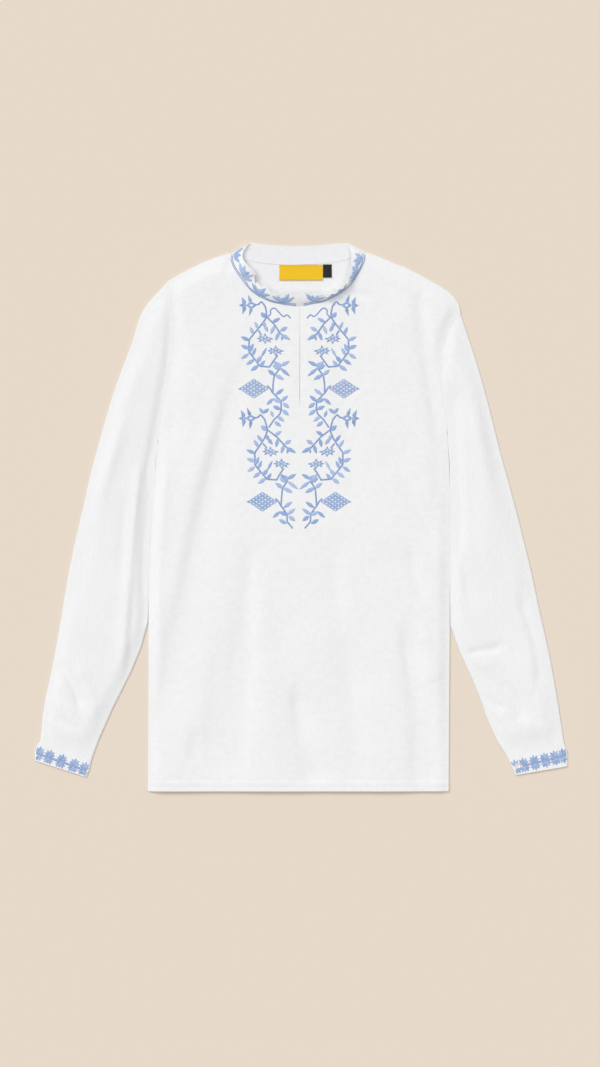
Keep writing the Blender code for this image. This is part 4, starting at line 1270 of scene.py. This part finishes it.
collarChart = {
    # tips: along the band, share of its height, share of a leaf's width
    "petals": ((-18, 0.7, 0.95), (-9.5, 0.9, 0.95), (0, 0.74, 0.95), (9.5, 0.9, 0.95), (18, 0.7, 0.95)),
    "foot": 0.3,
    "spread": 0.1,
    "lines": (0.07, 0.19),
    "heart": 0.36,
    "heartSize": (3.8, 3.8, 0.6),
    "ends": (1.0, 5.0),       # petals keep this far from the band's ends, at the shoulder and at the slit
    "lineEnds": (2.0, 6.0),
    "raised": 0.1,
    "row": {"pitch": 2.2, "length": 2.8, "width": 1.5, "height": 0.5, "slant": 6.0},
    # on the back, which lies with its outer side down
    "backAt": (-58.0, -29.0, 0.0, 29.0, 58.0),     # places of the lilies along x
    "backSeam": ((-80, 803), (0, 800), (80, 803)),     # the seam's edge lies below this line
    "backFoot": 7.0,          # their feet lie this far above the seam
    "backSpread": 0.72,
    "backTall": 17.0,
    "backWidth": 0.85,
    "backLines": (2.4, 4.6),
    "backEnds": 14.0,         # the lines end this far from the collar's ends
    "backEdge": 2.2,
    "under": 0.18,
}
leftLilies = ((-97, 800), (-86, 771), (-59, 742), (-23, 730))
rightLilies = ((98, 797), (88, 774), (58, 745), (21, 731))


def bandEmbroidery(band, lilies):
    # set out flat: along the seam and up from it
    pick = np.random.default_rng(chart["tintSeed"])
    grid, travelled, high = band["grid"], band["along"], band["high"]
    (firstAt, lastAt), (lineFrom, lineTo) = collarChart["ends"], collarChart["lineEnds"]
    petals, rings = [], []

    def on(along, share):
        return np.array((along, share * np.interp(along, travelled, high)))

    for spot in lilies:
        middle = travelled[int(np.argmin(np.hypot(*(grid[:, 0, :2] - spot).T)))]
        for u, share, width in collarChart["petals"]:
            if firstAt < middle + u < travelled[-1] - lastAt:
                foot = on(middle + u * collarChart["spread"], collarChart["foot"])
                petals.append(leafRow(foot, on(middle + u, share), width, pick.uniform(0.1, 0.8)))
        rings.append(((*on(middle, collarChart["heart"]), 0.5), (0.0, 0.0, 0.0), collarChart["heartSize"], 0.0))
    lines = [[on(along, share) for along in np.arange(lineFrom, travelled[-1] - lineTo, 2.0)]
             for share in collarChart["lines"]]
    return petals, rings, lines


def wrapped(thing, band):
    # lays stitches that were set out flat onto the outer face of a band
    for vertex in thing.data.vertices:
        along, up, off = np.array(vertex.co) / mm + [*hemShift, 0.0]
        across = up / np.interp(along, band["along"], band["high"])
        vertex.co = toFrame([tuple(onBand(band, along, across, off + collarChart["raised"]))])[0]
    return thing


def thinned(rows, height):
    # the same motifs, lower
    return [(place, turn, (*size[:2], height), tint) for place, turn, size, tint in rows]


def backEmbroidery(outline):
    # the same half lilies on the outer side of the collar's back
    def seamAt(x):
        low = outline[outline[:, 1] < np.interp(outline[:, 0], *zip(*collarChart["backSeam"]))]
        low = low[np.argsort(low[:, 0])]
        return np.interp(x, low[:, 0], low[:, 1])

    petals = []
    for x in collarChart["backAt"]:
        foot = np.array((x, seamAt(x) + collarChart["backFoot"]))
        for u, share, width in collarChart["petals"]:
            tip = foot + (u * collarChart["backSpread"], (share - collarChart["foot"]) * collarChart["backTall"])
            petals.append(leafRow(foot, tip, width * collarChart["backWidth"], 0.5))
    ends = collarChart["backEnds"]
    xs = np.arange(outline[:, 0].min() + ends, outline[:, 0].max() - ends, 4.0)
    lines = [np.array([(x, seamAt(x) + away) for x in xs]) for away in collarChart["backLines"]]
    lines = [line[insideLoop(line, outline) & (fromEdge(line, outline) > collarChart["backEdge"])] for line in lines]
    return thinned(petals, collarChart["under"]), lines


# Label, size tab and button

tape = {
    "step": 1.8,
    "edgeStep": 1.6,
    "height": 1.9,
    "tucked": 0.8,            # it runs on into the seam above it
    "wall": 0.7,
    "wave": 0.06,
    "waveReach": 3.1,
    "stitchIn": (1.0, 1.1),   # the label's stitches lie this far inside its ends and its long sides
}
labelRow = {"pitch": 2.6, "length": 2.0, "width": 0.6, "height": 0.3}
hemRow = {"pitch": 3.0, "length": 2.3, "width": 0.6, "height": 0.35}


def tapeWeave(name, pale, dark, pitch, roughness):
    # woven polyester tape: fine ribs across its length with a faint satin shine
    material, tree, shader = newMaterial(name, {"Roughness": roughness, "Specular IOR Level": 0.3})
    uv = addNode(tree, "ShaderNodeUVMap", uv_map="threads")
    parts = addNode(tree, "ShaderNodeSeparateXYZ", {0: uv.outputs["UV"]})
    ribs = []
    for axis, size in ((0, pitch), (1, pitch * 0.7)):
        turn = addNode(tree, "ShaderNodeMath", {0: parts.outputs[axis], 1: 2 * math.pi / (size * mm)},
                       operation="MULTIPLY")
        ribs.append(addNode(tree, "ShaderNodeMath", {0: turn.outputs[0]}, operation="SINE"))
    weave = addNode(tree, "ShaderNodeMath", {0: ribs[0].outputs[0], 1: ribs[1].outputs[0]}, operation="MULTIPLY")
    # the colour is darker where the weave lies low: painted shade between the threads
    level = addNode(tree, "ShaderNodeMapRange", {"Value": weave.outputs[0], "From Min": -1.0})
    tint = addNode(tree, "ShaderNodeMix", {0: level.outputs[0], 6: linearColour(dark), 7: linearColour(pale)},
                   data_type="RGBA")
    bump = addNode(tree, "ShaderNodeBump", {"Height": weave.outputs[0], "Strength": 0.3, "Distance": 0.15 * mm})
    tree.links.new(tint.outputs[2], shader.inputs["Base Color"])
    tree.links.new(bump.outputs[0], shader.inputs["Normal"])
    return material


def planBox(node):
    # corners of a solid's box from above, in millimetres from the hem
    return [np.array(corner[:2]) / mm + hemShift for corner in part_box(node)]


def makeTape(name, node, material, curl):
    # a short woven tape caught in the seam above it, standing off the cloth a little at its lower edge
    (left, bottom), (right, top) = planBox(node)
    sewnIn = top + tape["tucked"]
    loop = np.array([(left, bottom), (right, bottom), (right, sewnIn), (left, sewnIn)])

    def heightOf(points):
        return (tape["height"] + curl * rolled(top - points[:, 1], top - bottom)
                + tape["wave"] * np.sin(points[:, 0] / tape["waveReach"]))

    return thicken(makePanel(name, divided(loop, tape["edgeStep"]), tape, heightOf, material), tape["wall"])


def pearlShell(name):
    # polished shell: pale, faintly pink, with a soft clouded depth
    material, tree, shader = newMaterial(name, {"Roughness": 0.22, "Coat Weight": 0.4})
    place = addNode(tree, "ShaderNodeTexCoord")
    clouds = addNode(tree, "ShaderNodeTexNoise", {"Vector": place.outputs["Object"], "Scale": 260.0, "Detail": 2.0})
    tint = addNode(tree, "ShaderNodeMix", {0: clouds.outputs[0], 6: linearColour("#E2D3CE"),
                                           7: linearColour("#F3ECE8")}, data_type="RGBA")
    tree.links.new(tint.outputs[2], shader.inputs["Base Color"])
    return material


button = {
    "profile": ((0.0, 0.9), (1.9, 0.95), (2.7, 1.15), (3.3, 1.75), (3.8, 2.15), (4.3, 2.1), (4.6, 1.6), (4.6, 0.6),
                (4.2, 0.1), (0.0, 0.0)),    # distance from the middle and height, in mm
    "sides": 32,
    "holes": 0.85,            # distance of each sewing hole from the middle, on both axes
    "holeRadius": 0.42,
    "holeSides": 10,
    "thread": (2.3, 0.7, 0.5),
    "threadHeight": 1.0,
}


def makeButton(name, material):
    low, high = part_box("cuff_button")
    middle = ((low[0] + high[0]) / 2, (low[1] + high[1]) / 2, low[2])
    rings, sides = button["profile"][1:-1], button["sides"]
    away, wide, corners = button["holes"], button["holeRadius"], button["holeSides"]
    work = bmesh.new()
    loops = [[work.verts.new((middle[0] + r * mm * math.cos(a), middle[1] + r * mm * math.sin(a), middle[2] + z * mm))
              for a in np.linspace(0, 2 * math.pi, sides, endpoint=False)] for r, z in rings]
    for one, two in zip(loops, loops[1:]):
        for k in range(sides):
            n = (k + 1) % sides
            work.faces.new((one[k], two[k], two[n], one[n]))
    around = np.linspace(0, 2 * math.pi, corners, endpoint=False)
    holes = [[(sx * away + wide * math.cos(a), sy * away + wide * math.sin(a)) for a in around]
             for sx in (-1, 1) for sy in (-1, 1)]
    walls = []
    for loop, (r, z) in ((loops[0], button["profile"][0]), (loops[-1], button["profile"][-1])):
        inner = [[work.verts.new((middle[0] + x * mm, middle[1] + y * mm, middle[2] + z * mm)) for x, y in hole]
                 for hole in holes]
        spots = loop + [v for hole in inner for v in hole]
        flat = [((v.co.x - middle[0]) / mm, (v.co.y - middle[1]) / mm) for v in spots]
        edges = [(k, (k + 1) % sides) for k in range(sides)]
        for first in range(sides, sides + 4 * corners, corners):
            edges += [(first + k, first + (k + 1) % corners) for k in range(corners)]
        for face in delaunay_2d_cdt([Vector(p) for p in flat], edges, [], 0, 1e-6)[2]:
            # the holes stay open
            x, y = np.mean([flat[k] for k in face], axis=0)
            if np.hypot(abs(x) - away, abs(y) - away) > wide * 0.96:
                work.faces.new([spots[k] for k in face])
        walls.append(inner)
    for top, bottom in zip(*walls):
        for k in range(corners):
            n = (k + 1) % corners
            work.faces.new((top[k], bottom[k], bottom[n], top[n]))
    turnOutwards(work)
    mesh = bpy.data.meshes.new(name)
    work.to_mesh(mesh)
    work.free()
    mesh.shade_smooth()
    mesh.materials.append(material)
    return placed(name, mesh), np.array(middle) / mm + [*hemShift, 0.0]


makeCamera()
makeLight()
makeFloor()
print("camera, light and floor ready")

bodyLinen = linenCloth("bleached linen", *linen["outside"])
# a darker copy of the linen for the inside: painted shade
shadedInsideLinen = linenCloth("inside of the linen, painted shade", *linen["inside"])
sides = {
    "left": {"way": -1, "sleeve": leftSleeve, "bodySide": sideLeft, "cuff": leftCuff, "cuffLine": leftCuffLine,
             "band": leftBand, "lilies": leftLilies},
    "right": {"way": 1, "sleeve": rightSleeve, "bodySide": sideRight, "cuff": rightCuff, "cuffLine": rightCuffLine,
              "band": rightBand, "lilies": rightLilies},
}

frontPanel = makePanel("front_panel", frontOutline, front, frontTop, bodyLinen)
thicken(frontPanel, relief["clothWall"])
print("front panel ready", len(frontPanel.data.polygons))
backPanel = makePanel("back_panel", backOutline, back, backTop, shadedInsideLinen)
settled(thicken(backPanel, relief["clothWall"]))
print("back panel ready", len(backPanel.data.polygons))
sleeves = {side: makeSleeve("sleeve_of_the_" + side, its["sleeve"], its["way"], its["bodySide"], bodyLinen)
           for side, its in sides.items()}
cuffs = {side: makeCuff("cuff_of_the_" + side, its["cuff"], its["sleeve"], bodyLinen) for side, its in sides.items()}
for tubes, wall in ((sleeves, relief["clothWall"]), (cuffs, cuff["wall"])):
    for tube in tubes.values():
        settled(thicken(tube["cloth"], wall))
print("sleeves and cuffs ready")
collarBack = makePanel("collar_of_the_back", collarBackOutline, collarBackSizes, collarBackTop, shadedInsideLinen)
thicken(collarBack, collarBackSizes["wall"])
bands = {side: makeBand("collar_band_of_the_" + side, its["band"], bodyLinen) for side, its in sides.items()}
for band in bands.values():
    thicken(band["cloth"], collar["wall"], 0.0)
edges = {side: rolledEdge("rolled_edge_of_the_" + side, band["grid"][:, -1], bodyLinen)
         for side, band in bands.items()}
print("collar ready")

leafThread = stitchThread("blue satin stitch cotton", threadBlues["leaf"])
stemThread = stitchThread("blue stem stitch cotton", threadBlues["stem"])
accentThread = stitchThread("deep blue cotton", threadBlues["accent"])
whiteThread = stitchThread("white sewing cotton", threadBlues["white"])
leafShape = leafUnit("leaf unit", 0.48, 0.48, 0.52)
petalShape = leafUnit("petal unit", 0.3, 0.5, 0.95)
dashShape, eyeletShape = dashUnit(), eyeletUnit()
motifs, rowsOfStitches = motifTree(), rowTree()

made = frontEmbroidery()
frontStitches = [
    makeMotifs("front_leaves", made["leaves"], leafShape, frontPanel, leafThread),
    makeMotifs("front_petals", made["petals"], petalShape, frontPanel, stemThread),
    makeMotifs("front_eyelets", made["eyelets"], eyeletShape, frontPanel, leafThread),
    makeRows("front_stems", made["stems"], dashShape, frontPanel, stemThread, **chart["stem"]),
    makeRows("front_tendrils", made["tendrils"], dashShape, frontPanel, accentThread, **chart["tendril"]),
]
hemLine = [(x, front["hemSeam"]) for x in front["hemEnds"]]
frontStitches.append(makeRows("hem_stitches", [hemLine], dashShape, frontPanel, whiteThread, **hemRow))
print("front embroidery ready", [len(thing.data.polygons) for thing in frontStitches])

cuffStitches = {}
for side, its in sides.items():
    tube = cuffs[side]["cloth"]
    petals, lines = cuffEmbroidery(its["cuffLine"], cuffLoop(its["cuff"], its["sleeve"]))
    cuffStitches[side] = [
        makeMotifs("stars_on_cuff_" + side, petals, leafShape, tube, leafThread),
        makeRows("lines_on_cuff_" + side, lines, dashShape, tube, accentThread, **cuffChart["row"]),
        makeMotifs("stars_under_cuff_" + side, thinned(petals, cuffChart["under"]), leafShape, tube, leafThread,
                   side=-1.0),
        makeRows("lines_under_cuff_" + side, lines, dashShape, tube, stemThread, side=-1.0,
                 **{**cuffChart["row"], "height": cuffChart["under"]}),
    ]
print("cuff embroidery ready")

bandStitches = {}
for side, its in sides.items():
    band, cloth = bands[side], bands[side]["cloth"]
    petals, rings, lines = bandEmbroidery(band, its["lilies"])
    flatStitches = (
        makeMotifs("lilies_on_band_" + side, petals, leafShape, cloth, leafThread, cling=False),
        makeMotifs("lily_hearts_on_band_" + side, rings, eyeletShape, cloth, leafThread, cling=False),
        makeRows("lines_on_band_" + side, lines, dashShape, cloth, stemThread, cling=False, **collarChart["row"]),
    )
    bandStitches[side] = [edges[side], *(wrapped(thing, band) for thing in flatStitches)]
petals, lines = backEmbroidery(collarBackOutline)
backStitches = [
    makeMotifs("lilies_under_collar", petals, leafShape, collarBack, stemThread, side=-1.0),
    makeRows("lines_under_collar", lines, dashShape, collarBack, stemThread, side=-1.0,
             **{**collarChart["row"], "height": collarChart["under"]}),
]
print("collar embroidery ready")

yellowTape = tapeWeave("yellow woven tape", "#F6C91A", "#EAB706", 0.8, 0.6)
blackTape = tapeWeave("black satin tape", "#161618", "#0B0B0D", 0.7, 0.55)
neckLabel = makeTape("label_tape", "neck_label", yellowTape, 0.9)
sizeTab = makeTape("size_tape", "size_tab", blackTape, 1.1)
cuffButton, buttonPlace = makeButton("shell_button", pearlShell("polished shell"))
goldThread = stitchThread("golden sewing cotton", ("#DDB01E", "#D3A514", "#C4980F"))
(left, bottom), (right, top) = planBox("neck_label")
endsIn, sidesIn = tape["stitchIn"]
labelStitches = makeRows("label_stitches", [[(left + endsIn, y), (right - endsIn, y)]
                                            for y in (bottom + sidesIn, top - sidesIn)],
                         dashShape, neckLabel, goldThread, **labelRow)
threadAt = buttonPlace + [0.0, 0.0, button["threadHeight"]]
buttonThread = makeMotifs("button_thread", [
    ((threadAt[0] + x, *threadAt[1:]), (0.0, 0.0, math.pi / 2), button["thread"], 0.4)
    for x in (-button["holes"], button["holes"])], dashShape, cuffButton, whiteThread, cling=False)
print("label, tab and button ready")

for piece, node, slot in (
        (frontPanel, "front_body", "linen"), (backPanel, "back_body", "linen"),
        (sleeves["left"]["cloth"], "sleeve_left", "linen"), (sleeves["right"]["cloth"], "sleeve_right", "linen"),
        (cuffs["left"]["cloth"], "cuff_left", "embroidered_linen"),
        (cuffs["right"]["cloth"], "cuff_right", "embroidered_linen"), (collarBack, "collar_back", "linen"),
        (bands["left"]["cloth"], "collar_front_left", "embroidered_linen"),
        (bands["right"]["cloth"], "collar_front_right", "embroidered_linen"), (neckLabel, "neck_label", "label_yellow"),
        (sizeTab, "size_tab", "tab_black"), (cuffButton, "cuff_button", "button_pale")):
    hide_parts(node)
    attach(piece, "root")
for group, slot in ((frontStitches, "embroidered_linen"), (backStitches, "linen"), ([labelStitches], "label_yellow"),
                    ([buttonThread], "button_pale"),
                    *((group, "embroidered_linen") for group in (*cuffStitches.values(), *bandStitches.values()))):
    for piece in group:
        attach(piece, "root")

planArea(frontOutline)
planArea(backOutline)
for tube, extra in ((sleeves["left"], []), (sleeves["right"], []), (cuffs["left"], cuffStitches["left"]),
                    (cuffs["right"], cuffStitches["right"] + [cuffButton, buttonThread])):
    girth, long = tube["girth"], tube["long"]
    min(tube["area"], girth * long)
    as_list(extra)
planArea(collarBackOutline)
for side, band in bands.items():
    long, wide = band["along"][-1] * mm, band["high"].max() * mm
